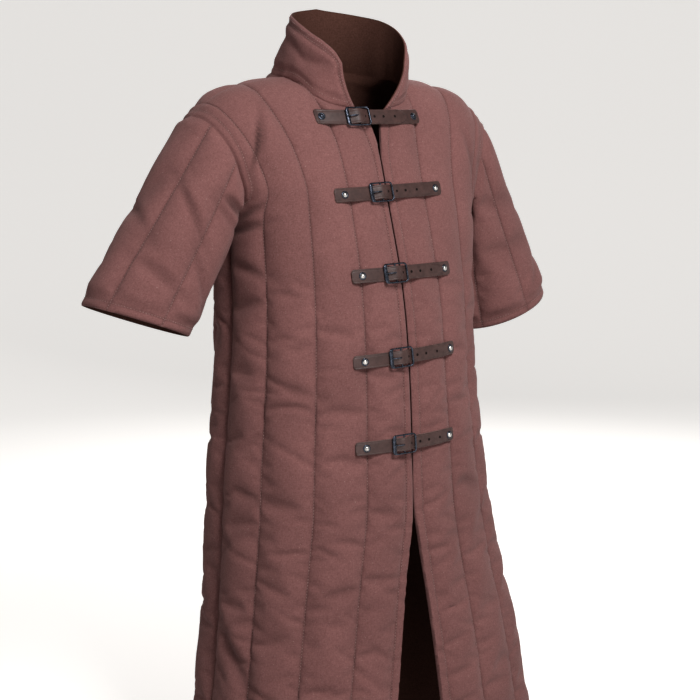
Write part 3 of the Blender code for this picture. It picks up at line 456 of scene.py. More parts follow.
@dataclass(frozen=True)
class SleeveForm:
    """The sleeves' inner surfaces, drawn from an armhole's loop to a cuff."""

    torso: TorsoForm
    radius: float = 0.0825
    depth_radius: float = 0.0760
    belly: float = 0.12
    cap_reach: float = 0.8
    ease_height: float = 0.030
    above: float = 0.008
    start: float = 0.016
    clearance: float = 0.026

    def rings(self, size: SleeveSize, loop: Array, lengths: Array) -> Array:
        """A sleeve's inner points.

        Args:
            size: the sleeve's cuff and lean.
            loop: the armhole's points, round from the armpit by way of the front.
            lengths: how far down the sleeve each ring lies, from 0 to 1.

        Returns:
            Points by ring, and round each ring.
        """
        centre = loop.mean(axis=0)
        cuff = np.array(size.cuff) * np.array([size.side.value, 1.0, 1.0])
        lean = math.radians(size.lean)
        up = np.array([size.side.value * math.cos(lean), 0, math.sin(lean)])
        forward = np.array([0.0, -1.0, 0.0])
        turn = np.linspace(0, 2 * math.pi, len(loop), endpoint=False)[:, None]
        ring = -np.cos(turn) * up * self.radius + np.sin(turn) * forward * self.depth_radius
        rings = []
        for t in lengths:
            blend = t + self.belly * math.sin(math.pi * t)
            middle = centre + (cuff - centre) * t
            cap = size.cap * math.sin(math.pi * min(1, t / self.cap_reach)) * (1 - np.cos(turn)) / 2
            rings.append(middle + (1 - blend) * (loop - centre) + blend * ring + cap * up)
        return self.clear_of_torso(np.array(rings), size.side)

    def clear_of_torso(self, rings: Array, side: Side) -> Array:
        """Move points outwards where the padded walls of sleeve and torso would touch.

        Args:
            rings: the sleeve's points.
            side: the wearer's side.

        Returns:
            The points, clear of the torso but for the first ring.
        """
        torso = self.torso
        x, y, z = np.moveaxis(rings, -1, 0)
        near = np.clip((torso.armpit_z - z) / self.above + 1, 0, 1)
        below = np.clip((torso.armpit_z - z) / self.ease_height, 0, 1)
        behind = y > 0
        depth, square = (
            np.where(behind, *(torso.sections.smooth(z, face + end) for face in ("back", "front")))
            for end in ("", "_square")
        )
        share = np.clip(np.abs(y) / depth, 0, 1)
        wall = torso.half_width(side, np.minimum(z, torso.armpit_z)) * (1 - share**square) ** (1 / square)
        least = wall + near * (self.start + (self.clearance - self.start) * below)
        moved = np.where((near > 0) & (np.abs(x) < least), side.value * least, x)
        moved[0] = x[0]
        return np.stack([moved, y, z], axis=-1)


@dataclass(frozen=True)
class CollarForm:
    """The collar's inner surface, drawn from the neckline to its top edge."""

    torso: TorsoForm
    top_x: float = 0.006
    top_y: float = -0.004
    top_radius: float = 0.0895
    front_angle: float = 42.0
    draw: float = 1.8
    table: Table = field(default_factory=lambda: Table(COLLAR_TOP))

    def rows(self, neckline: Array, right_half: NDArray[np.bool_], heights: Array) -> Array:
        """The collar's inner points.

        Args:
            neckline: its points, from the right front edge round the nape.
            right_half: which of them lie on the wearer's right.
            heights: how far up the collar each row lies, from 0 to 1.

        Returns:
            Points by row, from the neckline up, and by column.
        """
        forward = self.torso.shoulder_seam_y - neckline[:, 1]
        around = np.degrees(np.arctan2(np.abs(neckline[:, 0]), forward))
        side = np.where(right_half, -1.0, 1.0)
        stretch = (180 - self.front_angle) / (180 - around[0])
        spread = self.front_angle + (around - around[0]) * stretch
        turn = np.radians(spread)
        top_x = self.top_x + side * self.top_radius * np.sin(turn)
        top_y = self.top_y - self.top_radius * np.cos(turn)
        top = np.stack([top_x, top_y, self.table.smooth(spread)], axis=-1)
        drawn = 1 - (1 - heights) ** self.draw
        blend = np.stack([drawn, drawn, heights], axis=-1)[:, None, :]
        return neckline + (top - neckline) * blend


# ---- fine grids of cloth
HALF_CHANNEL = (0.0, 0.022, 0.055, 0.105, 0.170, 0.250, 0.325, 0.412)
CHANNEL_FRACTIONS = (*HALF_CHANNEL, 0.5, *(1 - f for f in HALF_CHANNEL[::-1]))
BAND_FRACTIONS = (0.0, 0.12, 0.30, 0.50, 0.70, 0.88, 1.0)


def fine_columns(stitches: Sequence[int]) -> tuple[Array, NDArray[np.int64]]:
    """Columns crowded towards each stitch line.

    Args:
        stitches: the coarse columns that are sewn.

    Returns:
        Where the fine columns lie among the coarse ones, and which of them are stitch lines.
    """
    found: list[float] = [float(stitches[0])]
    lines = [0]
    for start, end in zip(stitches, stitches[1:]):
        fractions = BAND_FRACTIONS if end - start < 3 else CHANNEL_FRACTIONS
        found += [start + f * (end - start) for f in fractions[1:]]
        lines.append(len(found) - 1)
    return np.array(found), np.array(lines)


def fine_rows(spans: Sequence[int]) -> Array:
    """Rows at even steps inside each coarse span."""
    found = [0.0]
    for start, count in enumerate(spans):
        found += [start + (i + 1) / count for i in range(count)]
    return np.array(found)


def grid_normals(points: Array, closed: bool, core: Array) -> Array:
    """Unit normals of a grid of points, facing away from its core.

    Args:
        points: the grid.
        closed: whether its columns run all the way round.
        core: a point or points inside it.

    Returns:
        One direction for each point.
    """
    count = points.shape[1]
    grid = np.concatenate([points, points[:, :1]], axis=1) if closed else points
    faces = np.cross(grid[1:, 1:] - grid[:-1, :-1], grid[:-1, 1:] - grid[1:, :-1])
    normals = np.zeros_like(grid)
    for rows in (slice(None, -1), slice(1, None)):
        for columns in (slice(None, -1), slice(1, None)):
            normals[rows, columns] += faces
    if closed:
        normals[:, 0] += normals[:, -1]
    normals = unit(normals[:, :count])
    facing = ((points - core) * normals).sum(axis=-1)
    return normals * (1 if np.median(facing) > 0 else -1)


@dataclass
class FineGrid:
    """A panel's plain inner surface at the scale of its creases.

    It holds points and outward directions by row and column, where each row and column lies among
    the coarse ones, which columns are stitch lines, and whether the columns run all the way round.
    """

    name: str
    inner: Array
    normals: Array
    rows: Array
    columns: Array
    lines: NDArray[np.int64]
    closed: bool = False

    def distances(self, axis: int) -> Array:
        """How far each point lies up its column, for axis 0, or across its row, for axis 1."""
        steps = np.linalg.norm(np.diff(self.inner, axis=axis), axis=-1)
        return np.insert(np.cumsum(steps, axis=axis), 0, 0, axis=axis)

    def tree(self) -> BVHTree:
        """A search tree over the surface."""
        rows, columns = self.inner.shape[:2]
        spans = columns if self.closed else columns - 1
        r, c = np.meshgrid(np.arange(rows - 1), np.arange(spans), indexing="ij")
        d = (c + 1) % columns
        corners = (r * columns + c, r * columns + d, (r + 1) * columns + d, (r + 1) * columns + c)
        faces = np.stack(corners, axis=-1).reshape(-1, 4)
        return BVHTree.FromPolygons(self.inner.reshape(-1, 3).tolist(), faces.tolist())


BODY_SPANS = (3,) + (9,) * 21 + (5,) * 12
FRONT_STITCHES = (0, 2, 6, 10, 14, 18)
BACK_STITCHES = tuple(range(0, 33, 4))
SLEEVE_STITCHES = (2, 6, 10, 14, 18, 22, 26)
# The column down the middle of the back, and how many columns run round a sleeve.
BACK_MIDDLE = 16
AROUND = 24
# Where the cloth is eased about the armpit, how far up and down, how many fine columns in from an
# edge it is free to move, and how often it is eased.
ARMPIT_ROW = 22.5
ARMPIT_ROWS = 2.6
HELD_COLUMNS = 9
EASING_ROUNDS = 90
# How far down a sleeve each fine row lies, crowded at the cuff, and the columns it is lapped by.
SLEEVE_ROWS = np.concatenate([np.linspace(0, 0.955, 62), np.linspace(0.955, 1, 5)[1:]])
LAP = 12
# Half the width of the painted shade along a hem's stitch line.
STITCH_SHADE_HALF_WIDTH = 0.0018


class ShellForm:
    """Every quilted panel's inner surface, joined along the seams."""

    def __init__(self, torso: TorsoForm) -> None:
        """Draw the panels, fine, from the coarse points that the CAD part has."""
        self.torso = torso
        self.grids: dict[str, FineGrid] = {}
        for side in Side:
            coarse = torso.front(side)
            self.grids[side.front] = self.body_grid(side.front, coarse, torso.front_shares(), FRONT_STITCHES)
        shares = np.linspace(0, 2, 8 * torso.channels + 1)
        self.grids["back"] = self.body_grid("back", torso.back(), shares, BACK_STITCHES)
        self.match_ridges()
        for size in SLEEVES:
            self.grids[size.name] = self.sleeve_grid(size)
        self.grids["collar"] = self.collar_grid()
        self.share_normals()

    def body_grid(self, name: str, coarse: Array, shares: Array, stitches: Sequence[int]) -> FineGrid:
        """A body panel's fine grid.

        Args:
            name: the panel's name.
            coarse: its coarse points.
            shares: how far across each coarse column lies.
            stitches: the coarse columns that are sewn.

        Returns:
            The fine grid.
        """
        columns, lines = fine_columns(stitches)
        rows = fine_rows(BODY_SPANS)
        heights = self.torso.row_heights()
        row_at = np.interp(rows, np.arange(len(heights)), heights)
        column_at = np.interp(columns, np.arange(len(shares)), shares)
        turn = self.torso.skirt_rows
        skirt = rows <= turn
        lower = hermite(heights[: turn + 1], coarse[: turn + 1], row_at[skirt])
        upper = hermite(heights[turn:], coarse[turn:], row_at[~skirt])
        fine = np.concatenate([lower, upper])
        fine = np.moveaxis(hermite(shares, np.moveaxis(fine, 1, 0), column_at), 0, 1)
        fine = self.eased_armpit(name, fine, rows)
        core = fine * np.array([0.0, 0.0, 1.0]) + np.array([0.0, self.torso.shoulder_seam_y, 0.0])
        return FineGrid(name, fine, grid_normals(fine, False, core), rows, columns, lines)

    @staticmethod
    def eased_armpit(name: str, fine: Array, rows: Array) -> Array:
        """Ease the cloth round the armpit's level, with the panel's edges held.

        Args:
            name: the panel's name.
            fine: its fine points, which are changed.
            rows: where its fine rows lie.

        Returns:
            The same points.
        """
        count = fine.shape[1]
        inwards = np.minimum(np.arange(count), np.arange(count)[::-1])
        inwards = inwards if name == "back" else np.arange(count)[::-1]
        held = ease(np.clip(inwards / HELD_COLUMNS, 0, 1))[None, :]
        near = trace(rows, ARMPIT_ROW, ARMPIT_ROWS)[:, None]
        weight = (0.5 * held * near)[1:-1, :, None]
        for _ in range(EASING_ROUNDS):
            middle = (fine[2:] + fine[:-2]) / 2
            fine[1:-1] += weight * (middle - fine[1:-1])
        return fine

    def match_ridges(self) -> None:
        """Lay the fronts' and the back's top edges on one shoulder ridge."""
        torso = self.torso
        for name, side in (("front_right", Side.RIGHT), ("front_left", Side.LEFT), ("back", None)):
            grid = self.grids[name]
            if name == "back":
                column = np.abs(grid.columns - BACK_MIDDLE) - torso.back_neck_column
                sign = np.sign(grid.columns - BACK_MIDDLE)
            else:
                column = grid.columns - torso.front_neck_column
                sign = np.full(len(grid.columns), float(side.value if side else 1))
            out = column >= 0
            x = Table(FRONT_TOP).straight(column[out] + torso.front_neck_column)
            ridge = (sign[out] * x, np.full_like(x, torso.shoulder_seam_y), torso.ridge.smooth(x))
            shift = np.stack(ridge, axis=-1) - grid.inner[-1, out]
            fade = ease(np.clip(grid.rows - (grid.rows[-1] - 2), 0, 2) / 2)
            grid.inner[:, out] += fade[:, None, None] * shift[None]

    def body_edge(self, name: str, column: int) -> tuple[Array, Array, Array]:
        """Where an armhole edge's points lie among the yoke's rows, the points and their normals."""
        grid = self.grids[name]
        first = self.torso.skirt_rows
        yoke = grid.rows >= first
        return grid.rows[yoke] - first, grid.inner[yoke, column], grid.normals[yoke, column]

    def armhole(self, side: Side, columns: Array) -> tuple[Array, Array]:
        """The armhole's points and normals at these places round it, from the armpit up the front.

        Args:
            side: the wearer's side.
            columns: the places, as columns of the sleeve.

        Returns:
            The points, and their normals.
        """
        front_at, *front = self.body_edge(side.front, -1)
        back_at, *back = self.body_edge("back", side.back_column)
        at = np.concatenate([front_at, (AROUND - back_at[::-1])[1:]])
        both = (np.concatenate([f, b[::-1][1:]]) for f, b in zip(front, back))
        found, facing = (read_line(columns % AROUND, at, values) for values in both)
        return found, facing

    def sleeve_grid(self, size: SleeveSize) -> FineGrid:
        """A sleeve's fine grid, from the armhole to the cuff.

        Args:
            size: the sleeve.

        Returns:
            The fine grid.
        """
        columns, lines = fine_columns(SLEEVE_STITCHES)
        columns, lines = columns[:-1], lines[:-1]
        even = np.arange(0, AROUND, 0.25)
        loop, _ = self.armhole(size.side, even)
        lengths = SLEEVE_ROWS
        rings = SleeveForm(self.torso).rings(size, loop, lengths)
        padded = np.concatenate([rings[:, -LAP:], rings, rings[:, :LAP]], axis=1)
        at = np.concatenate([even[-LAP:] - AROUND, even, even[:LAP] + AROUND])
        wrapped = np.where(columns >= AROUND, columns - AROUND, columns)
        fine = np.moveaxis(hermite(at, np.moveaxis(padded, 1, 0), wrapped), 0, 1)
        edge, _ = self.armhole(size.side, columns)
        fade = 1 - ease(np.clip(lengths / 0.12, 0, 1))
        fine += fade[:, None, None] * (edge - fine[0])[None]
        core = fine.mean(axis=1, keepdims=True)
        return FineGrid(size.name, fine, grid_normals(fine, True, core), lengths, columns, lines, True)

    def neckline(self) -> tuple[Array, Array, Array]:
        """The neckline's places, points and normals, from the right front edge round the nape."""
        torso = self.torso
        right, left, back = (self.grids[n] for n in ("front_right", "front_left", "back"))
        n, m = torso.front_neck_column, torso.back_neck_column
        neck = right.columns <= n
        nape = np.abs(back.columns - BACK_MIDDLE) <= m
        over_nape = (back.columns[nape] - BACK_MIDDLE + m + n)[1:-1]
        at = np.concatenate([right.columns[neck], over_nape, (2 * (n + m) - left.columns[neck])[::-1]])
        parts = []
        for grids in ("inner", "normals"):
            r, b, f = (getattr(g, grids)[-1] for g in (right, back, left))
            parts.append(np.concatenate([r[neck], b[nape][1:-1], f[neck][::-1]]))
        return at, parts[0], parts[1]

    def collar_grid(self) -> FineGrid:
        """The collar's fine grid."""
        at, points, _ = self.neckline()
        heights = np.linspace(0, 1, 25)
        nape = self.torso.front_neck_column + self.torso.back_neck_column
        inner = CollarForm(self.torso).rows(points, at <= nape, heights)
        base = np.array([0.0, self.torso.shoulder_seam_y, 0.0])
        core = inner * np.array([0.0, 0.0, 1.0]) + base
        lines = np.array([0, len(at) - 1])
        return FineGrid("collar", inner, grid_normals(inner, False, core), heights * 5, at, lines)

    @staticmethod
    def join(grid: FineGrid, place: tuple, other: FineGrid, beside: tuple, step: int) -> None:
        """Give two rows of points one direction; step is -1 where they run opposite ways.

        Args:
            grid: one piece.
            place: the row of its points.
            other: the other piece.
            beside: the row of points beside it.
            step: -1 where the rows run opposite ways, else 1.
        """
        both = unit(grid.normals[place] + other.normals[beside][::step])
        grid.normals[place] = both
        other.normals[beside] = both[::step]

    def share_normals(self) -> None:
        """Give both sides of each seam one direction."""
        right, left, back = (self.grids[n] for n in ("front_right", "front_left", "back"))
        skirt = right.rows <= self.torso.skirt_rows
        for side in Side:
            front = self.grids[side.front]
            self.join(front, (skirt, -1), back, (skirt, side.back_column), 1)
            ridge = front.columns >= self.torso.front_neck_column
            other = side.value * (back.columns - BACK_MIDDLE) >= self.torso.back_neck_column
            self.join(front, (-1, ridge), back, (-1, other), side.value)
        for size in SLEEVES:
            sleeve = self.grids[size.name]
            _, body = self.armhole(size.side, sleeve.columns)
            sleeve.normals[0] = unit(sleeve.normals[0] + unit(body))
            front = self.grids[size.side.front]
            first = self.torso.skirt_rows
            yoke = front.rows >= first
            at = np.concatenate([sleeve.columns - AROUND, sleeve.columns, sleeve.columns + AROUND])
            ring = np.concatenate([sleeve.normals[0]] * 3)
            order = np.argsort(at)
            for grid, column, places in (
                (front, -1, front.rows[yoke] - first),
                (back, size.side.back_column, AROUND - (back.rows[yoke] - first)),
            ):
                grid.normals[yoke, column] = unit(read_line(places, at[order], ring[order]))
        at, _, body = self.neckline()
        collar = self.grids["collar"]
        both = unit(body + collar.normals[0])
        collar.normals[0] = both
        n = self.torso.front_neck_column
        right.normals[-1, right.columns <= n] = both[at <= n]
        left.normals[-1, left.columns <= n] = both[at >= at[-1] - n][::-1]
        nape = (at >= n) & (at <= at[-1] - n)
        back.normals[-1, np.abs(back.columns - BACK_MIDDLE) <= self.torso.back_neck_column] = both[nape]


# ---- the wadding
@dataclass(frozen=True)
class Wadding:
    """How the padded wall rises over a panel's inner surface."""

    seam: float = 0.0028
    padding: float = 0.0066
    crown: float = 3.0
    seam_roll: float = 0.0045
    swell: float = 0.0012
    pitch: float = 0.115
    slow_pitch: float = 0.310

    def profile(self, grid: FineGrid) -> Array:
        """How full each column is: none on a stitch line, full between two.

        Args:
            grid: the panel.

        Returns:
            Each column's fullness, from 0 to 1.
        """
        fill = np.zeros(len(grid.columns))
        stops = grid.columns[grid.lines]
        if grid.closed:
            stops = np.concatenate([stops, [stops[0] + AROUND]])
        for start, end in zip(stops, stops[1:]):
            inside = (grid.columns >= start) & (grid.columns <= end)
            f = (grid.columns[inside] - start) / (end - start)
            fill[inside] = 1 - np.abs(2 * f - 1) ** self.crown
        return fill

    def heights(self, grid: FineGrid, along: Array) -> Array:
        """How high the wadding stands, swelling slowly up and down each channel.

        Args:
            grid: the panel.
            along: how far along its channels each point lies.

        Returns:
            The heights.
        """
        channel = np.searchsorted(grid.columns[grid.lines], grid.columns, side="right")[None, :]
        wave = np.sin(2 * math.pi * along / self.pitch + 2.1 * channel)
        slow = np.sin(2 * math.pi * along / self.slow_pitch + 1.3 * channel)
        return self.padding + self.swell * (0.7 * wave + 0.5 * slow)


@dataclass(frozen=True)
class Crease:
    """A soft fold: where its middle lies across its row and up its panel (minus how
    far down a sleeve), half its length and width, its rise for each metre across, and how far it
    stands up, or down where that is negative.
    """

    across: float
    up: float
    length: float
    width: float
    slant: float
    depth: float

    def height(self, across: Array, up: Array) -> Array:
        """How far it moves each point."""
        run = math.hypot(1, self.slant)
        along = ((across - self.across) + (up - self.up) * self.slant) / run
        aside = ((up - self.up) - (across - self.across) * self.slant) / run
        return self.depth * np.exp(-((along / self.length) ** 2) - (aside / self.width) ** 2)


CREASES = {
    "front_right": (
        Crease(0.276, -0.889, 0.065, 0.011, 1.55, -0.0068),
        Crease(0.258, -0.874, 0.070, 0.016, 1.55, 0.0035),
        Crease(0.190, -0.470, 0.045, 0.010, 0.35, -0.0045),
        Crease(0.255, -0.345, 0.040, 0.010, -0.30, -0.0045),
        Crease(0.250, -0.640, 0.045, 0.012, 0.25, -0.0040),
        Crease(0.110, -0.780, 0.040, 0.010, -0.30, -0.0040),
        Crease(0.214, -0.101, 0.036, 0.0045, -3.6, -0.0200),
        Crease(0.198, -0.106, 0.050, 0.012, -3.6, 0.0045),
        Crease(0.246, -0.229, 0.034, 0.006, -0.25, -0.0140),
        Crease(0.236, -0.206, 0.030, 0.006, -0.55, -0.0125),
        Crease(0.245, -0.292, 0.040, 0.010, 0.30, -0.0050),
    ),
    "front_left": (
        Crease(0.180, -0.690, 0.045, 0.011, 0.40, -0.0045),
        Crease(0.120, -0.640, 0.040, 0.010, -0.45, -0.0045),
        Crease(0.240, -0.820, 0.050, 0.012, 0.35, -0.0040),
        Crease(0.230, -0.400, 0.040, 0.010, -0.20, -0.0035),
        Crease(0.200, -0.130, 0.040, 0.008, -6.0, -0.0058),
        Crease(0.222, -0.205, 0.030, 0.009, 0.40, -0.0050),
        Crease(0.240, -0.240, 0.040, 0.012, -0.50, -0.0040),
    ),
    "back": (
        Crease(0.120, -0.620, 0.050, 0.012, 0.30, -0.0045),
        Crease(0.400, -0.520, 0.050, 0.012, -0.30, -0.0045),
        Crease(0.520, -0.860, 0.060, 0.014, 0.35, -0.0045),
        Crease(0.230, -0.900, 0.055, 0.013, -0.40, -0.0045),
        Crease(0.090, -0.240, 0.045, 0.013, 0.50, -0.0045),
        Crease(0.590, -0.250, 0.045, 0.013, -0.55, -0.0045),
        Crease(0.115, -0.120, 0.050, 0.011, 7.0, -0.0045),
        Crease(0.560, -0.115, 0.050, 0.011, -7.0, -0.0045),
    ),
    "sleeve_right": (
        Crease(0.090, -0.119, 0.036, 0.0070, 0.45, -0.0082),
        Crease(0.086, -0.103, 0.040, 0.010, 0.45, 0.0030),
        Crease(0.105, -0.221, 0.042, 0.008, -0.25, -0.0072),
        Crease(0.100, -0.240, 0.045, 0.011, -0.25, 0.0025),
        Crease(0.050, -0.165, 0.035, 0.008, 0.70, -0.0050),
        Crease(0.026, -0.040, 0.028, 0.006, -0.5, -0.0140),
        Crease(0.038, -0.066, 0.030, 0.008, -0.3, -0.0050),
        Crease(0.175, -0.175, 0.050, 0.010, 0.5, -0.0042),
        Crease(0.160, -0.120, 0.060, 0.015, -1.4, -0.0030),
        Crease(0.380, -0.110, 0.050, 0.012, 1.1, -0.0045),
        Crease(0.350, -0.200, 0.050, 0.013, 0.8, -0.0040),
    ),
    "sleeve_left": (
        Crease(0.060, -0.085, 0.050, 0.010, -1.1, -0.0050),
        Crease(0.080, -0.170, 0.055, 0.012, -0.8, -0.0045),
        Crease(0.130, -0.250, 0.050, 0.012, 0.5, -0.0040),
        Crease(0.180, -0.140, 0.060, 0.014, -1.3, -0.0032),
        Crease(0.390, -0.120, 0.050, 0.012, 1.0, -0.0045),
        Crease(0.340, -0.220, 0.050, 0.013, 0.7, -0.0040),
    ),
    "collar": (
        Crease(0.060, 0.052, 0.030, 0.008, -0.55, -0.0036),
        Crease(0.105, 0.050, 0.030, 0.009, 0.45, -0.0032),
        Crease(0.165, 0.060, 0.030, 0.008, -0.40, -0.0028),
        Crease(0.300, 0.060, 0.035, 0.009, 0.40, -0.0030),
        Crease(0.380, 0.048, 0.030, 0.008, 0.55, -0.0030),
    ),
}


@dataclass(frozen=True)
class Puckering:
    """Small creases that run out from the stitch lines.

    They lie about a spacing apart, press the wadding down by a share of its depth, reach into the
    channel, and are plain down to one height and at their strongest from another.
    """

    seed: int
    spacing: float = 0.031
    depth: float = 0.78
    reach: float = 0.026
    width: float = 0.0042
    plain: float = 0.10
    smooth_to: float = -0.20
    full_from: float = -0.46

    def strength(self, z: Array | float) -> Array:
        """How strong they are at a height."""
        low = step_up(-np.asarray(z, float), -self.smooth_to, -self.full_from)
        return self.plain + (1 - self.plain) * low

    def press(self, grid: FineGrid, along: Array, heights: Array) -> Array:
        """How far the wadding is pressed down at each point, from 0 to 1.

        Args:
            grid: the panel.
            along: how far along its stitch lines each point lies.
            heights: the height that sets how strong the creases are.

        Returns:
            The share that is pressed down.
        """
        chance = np.random.default_rng(self.seed)
        across = grid.distances(1)
        pressed = np.zeros(across.shape)
        for line in grid.lines:
            place = float(along[:, line].min()) + self.spacing * chance.uniform(0.2, 1.0)
            end = float(along[:, line].max())
            while place < end:
                row = int(np.argmin(np.abs(along[:, line] - place)))
                strong = float(self.strength(heights[row, line]))
                slant = chance.normal(0, 0.30)
                width = self.width * chance.uniform(0.6, 1.6)
                for sign in (-1, 1):
                    depth = self.depth * strong * chance.uniform(0.1, 1.0)
                    reach = self.reach * chance.uniform(0.35, 1.3)
                    away = sign * (across - across[:, line : line + 1])
                    q = along - place - chance.normal(0, 0.003) - slant * away
                    q -= 0.25 * away**2 / self.reach * chance.uniform(-1, 1)
                    spot = np.exp(-((q / width) ** 2))
                    beside = 0.35 * trace(np.abs(q), 1.9 * width, width)
                    fade = np.exp(-np.clip(away, 0, None) / reach)
                    pressed += np.where(away >= -1e-9, depth * (spot - beside) * fade, 0)
                place += self.spacing * chance.uniform(0.45, 1.8) / max(0.3, strong)
        return np.clip(pressed, -0.3, 0.9)


@dataclass(frozen=True)
class Room:
    """How close a wall may come to the next piece beside a seam."""

    gap: float = 0.0003
    seam_gap: float = 0.00006
    open_share: float = 0.80
    hollow_share: float = 0.42
    hollow_from: float = 0.25
    reach: float = 0.040
    least: float = 0.0010
    far: float = 0.1

    def limits(self, grid: FineGrid, others: Iterable[BVHTree]) -> Array:
        """The greatest thickness at each point, by the distance to the next piece.

        Args:
            grid: the panel.
            others: the other panels' search trees.

        Returns:
            The limits.
        """
        limits = np.full(grid.inner.shape[:2], self.far)
        trees = list(others)
        for place in np.ndindex(limits.shape):
            here = grid.inner[place]
            for tree in trees:
                nearest, _, _, distance = tree.find_nearest(here.tolist(), self.reach)
                if nearest is None or distance < self.gap:
                    continue
                front = (np.array(nearest) - here) @ grid.normals[place] / distance
                lean = min(1.0, max(0.0, front / self.hollow_from))
                share = self.open_share + (self.hollow_share - self.open_share) * lean
                limits[place] = min(limits[place], max(self.least, share * distance))
        return limits

    @staticmethod
    def softened(thickness: Array, limits: Array) -> Array:
        """The lesser of the two, with no kink where they cross."""
        return thickness * limits / (thickness**4 + limits**4) ** 0.25


@dataclass(frozen=True)
class Drawing:
    """Cloth simulation: canvas cut longer than its wadding draws up between the stitch lines.

    The slack is the share that it is longer by, and no point moves further than most.
    """

    frames: int = 13
    slack: float = 0.020
    bending: float = 22.0
    pressure: float = 6.0
    most: float = 0.0055

    def settle(self, grid: FineGrid, face: Array, pinned: Array, loose: Array) -> Array:
        """Let the canvas settle, and say how far each point moves.

        Args:
            grid: the panel.
            face: the canvas's points.
            pinned: 1 where it is sewn down.
            loose: from 0 where it hangs smooth to 1 where it has all its slack.

        Returns:
            Each point's movement.
        """
        if grid.closed:
            face, pinned, loose = (np.concatenate([a, a[:, :1]], axis=1) for a in (face, pinned, loose))
        thing = self.sheet(grid, face)
        self.weigh(thing, "pinned", pinned)
        self.weigh(thing, "plain", 1 - loose)
        self.clothe(thing)
        scene = bpy.context.scene
        for frame_number in range(1, self.frames + 1):
            scene.frame_set(frame_number)
        graph = bpy.context.evaluated_depsgraph_get()
        settled = thing.evaluated_get(graph).to_mesh()
        places = np.empty(face.size)
        settled.vertices.foreach_get("co", places)
        scene.frame_set(1)
        bpy.data.objects.remove(thing)
        moved = places.reshape(face.shape) - face
        length = np.linalg.norm(moved, axis=-1, keepdims=True)
        moved *= np.minimum(1, self.most / np.maximum(length, 1e-9))
        return moved[:, :-1] if grid.closed else moved

    @staticmethod
    def sheet(grid: FineGrid, face: Array) -> Object:
        """The canvas as a plain mesh that faces outwards.

        Args:
            grid: the panel.
            face: the canvas's points.

        Returns:
            The object.
        """
        rows, columns = face.shape[:2]
        mesh = bmesh.new()
        bmesh.ops.create_grid(mesh, x_segments=columns - 1, y_segments=rows - 1, size=0.5)
        for vert, place in zip(mesh.verts, face.reshape(-1, 3).tolist()):
            vert.co = place
        mesh.normal_update()
        mesh.verts.index_update()
        mesh.faces.ensure_lookup_table()
        middle = mesh.faces[len(mesh.faces) // 2]
        row, column = divmod(middle.verts[0].index, columns)
        outwards = Vector(grid.normals[row, min(column, grid.normals.shape[1] - 1)].tolist())
        if middle.normal.dot(outwards) < 0:
            bmesh.ops.reverse_faces(mesh, faces=mesh.faces)
        data = bpy.data.meshes.new("canvas " + grid.name)
        mesh.to_mesh(data)
        mesh.free()
        return placed("canvas " + grid.name, data)

    @staticmethod
    def weigh(thing: Object, name: str, weights: Array) -> None:
        """Give each point a weight in a named group.

        Args:
            thing: the canvas.
            name: the group's name.
            weights: each point's weight, from 0 to 1.
        """
        group = thing.vertex_groups.new(name=name)
        rounded = np.round(weights.reshape(-1) * 20) / 20
        for value in np.unique(rounded):
            group.add(np.nonzero(rounded == value)[0].tolist(), float(value), "REPLACE")

    def clothe(self, thing: Object) -> None:
        """Add the simulation and its settings.

        Args:
            thing: the canvas, with its groups.
        """
        modifier = thing.modifiers.new("drawing", "CLOTH")
        cloth = modifier.settings
        cloth.quality, cloth.mass = 6, 0.3
        cloth.tension_stiffness, cloth.compression_stiffness, cloth.shear_stiffness = 25, 15, 10
        cloth.bending_stiffness, cloth.bending_damping = self.bending, 0.5
        cloth.tension_damping = cloth.compression_damping = cloth.shear_damping = 5
        cloth.vertex_group_mass, cloth.pin_stiffness = "pinned", 1
        cloth.vertex_group_shrink = "plain"
        cloth.shrink_min, cloth.shrink_max = -self.slack, 0.0
        cloth.use_pressure, cloth.uniform_pressure_force = True, self.pressure
        cloth.effector_weights.gravity = 0
        modifier.collision_settings.use_collision = False
        modifier.point_cache.frame_start = 1
        modifier.point_cache.frame_end = self.frames


# ---- finishes
Colour = tuple[float, float, float]


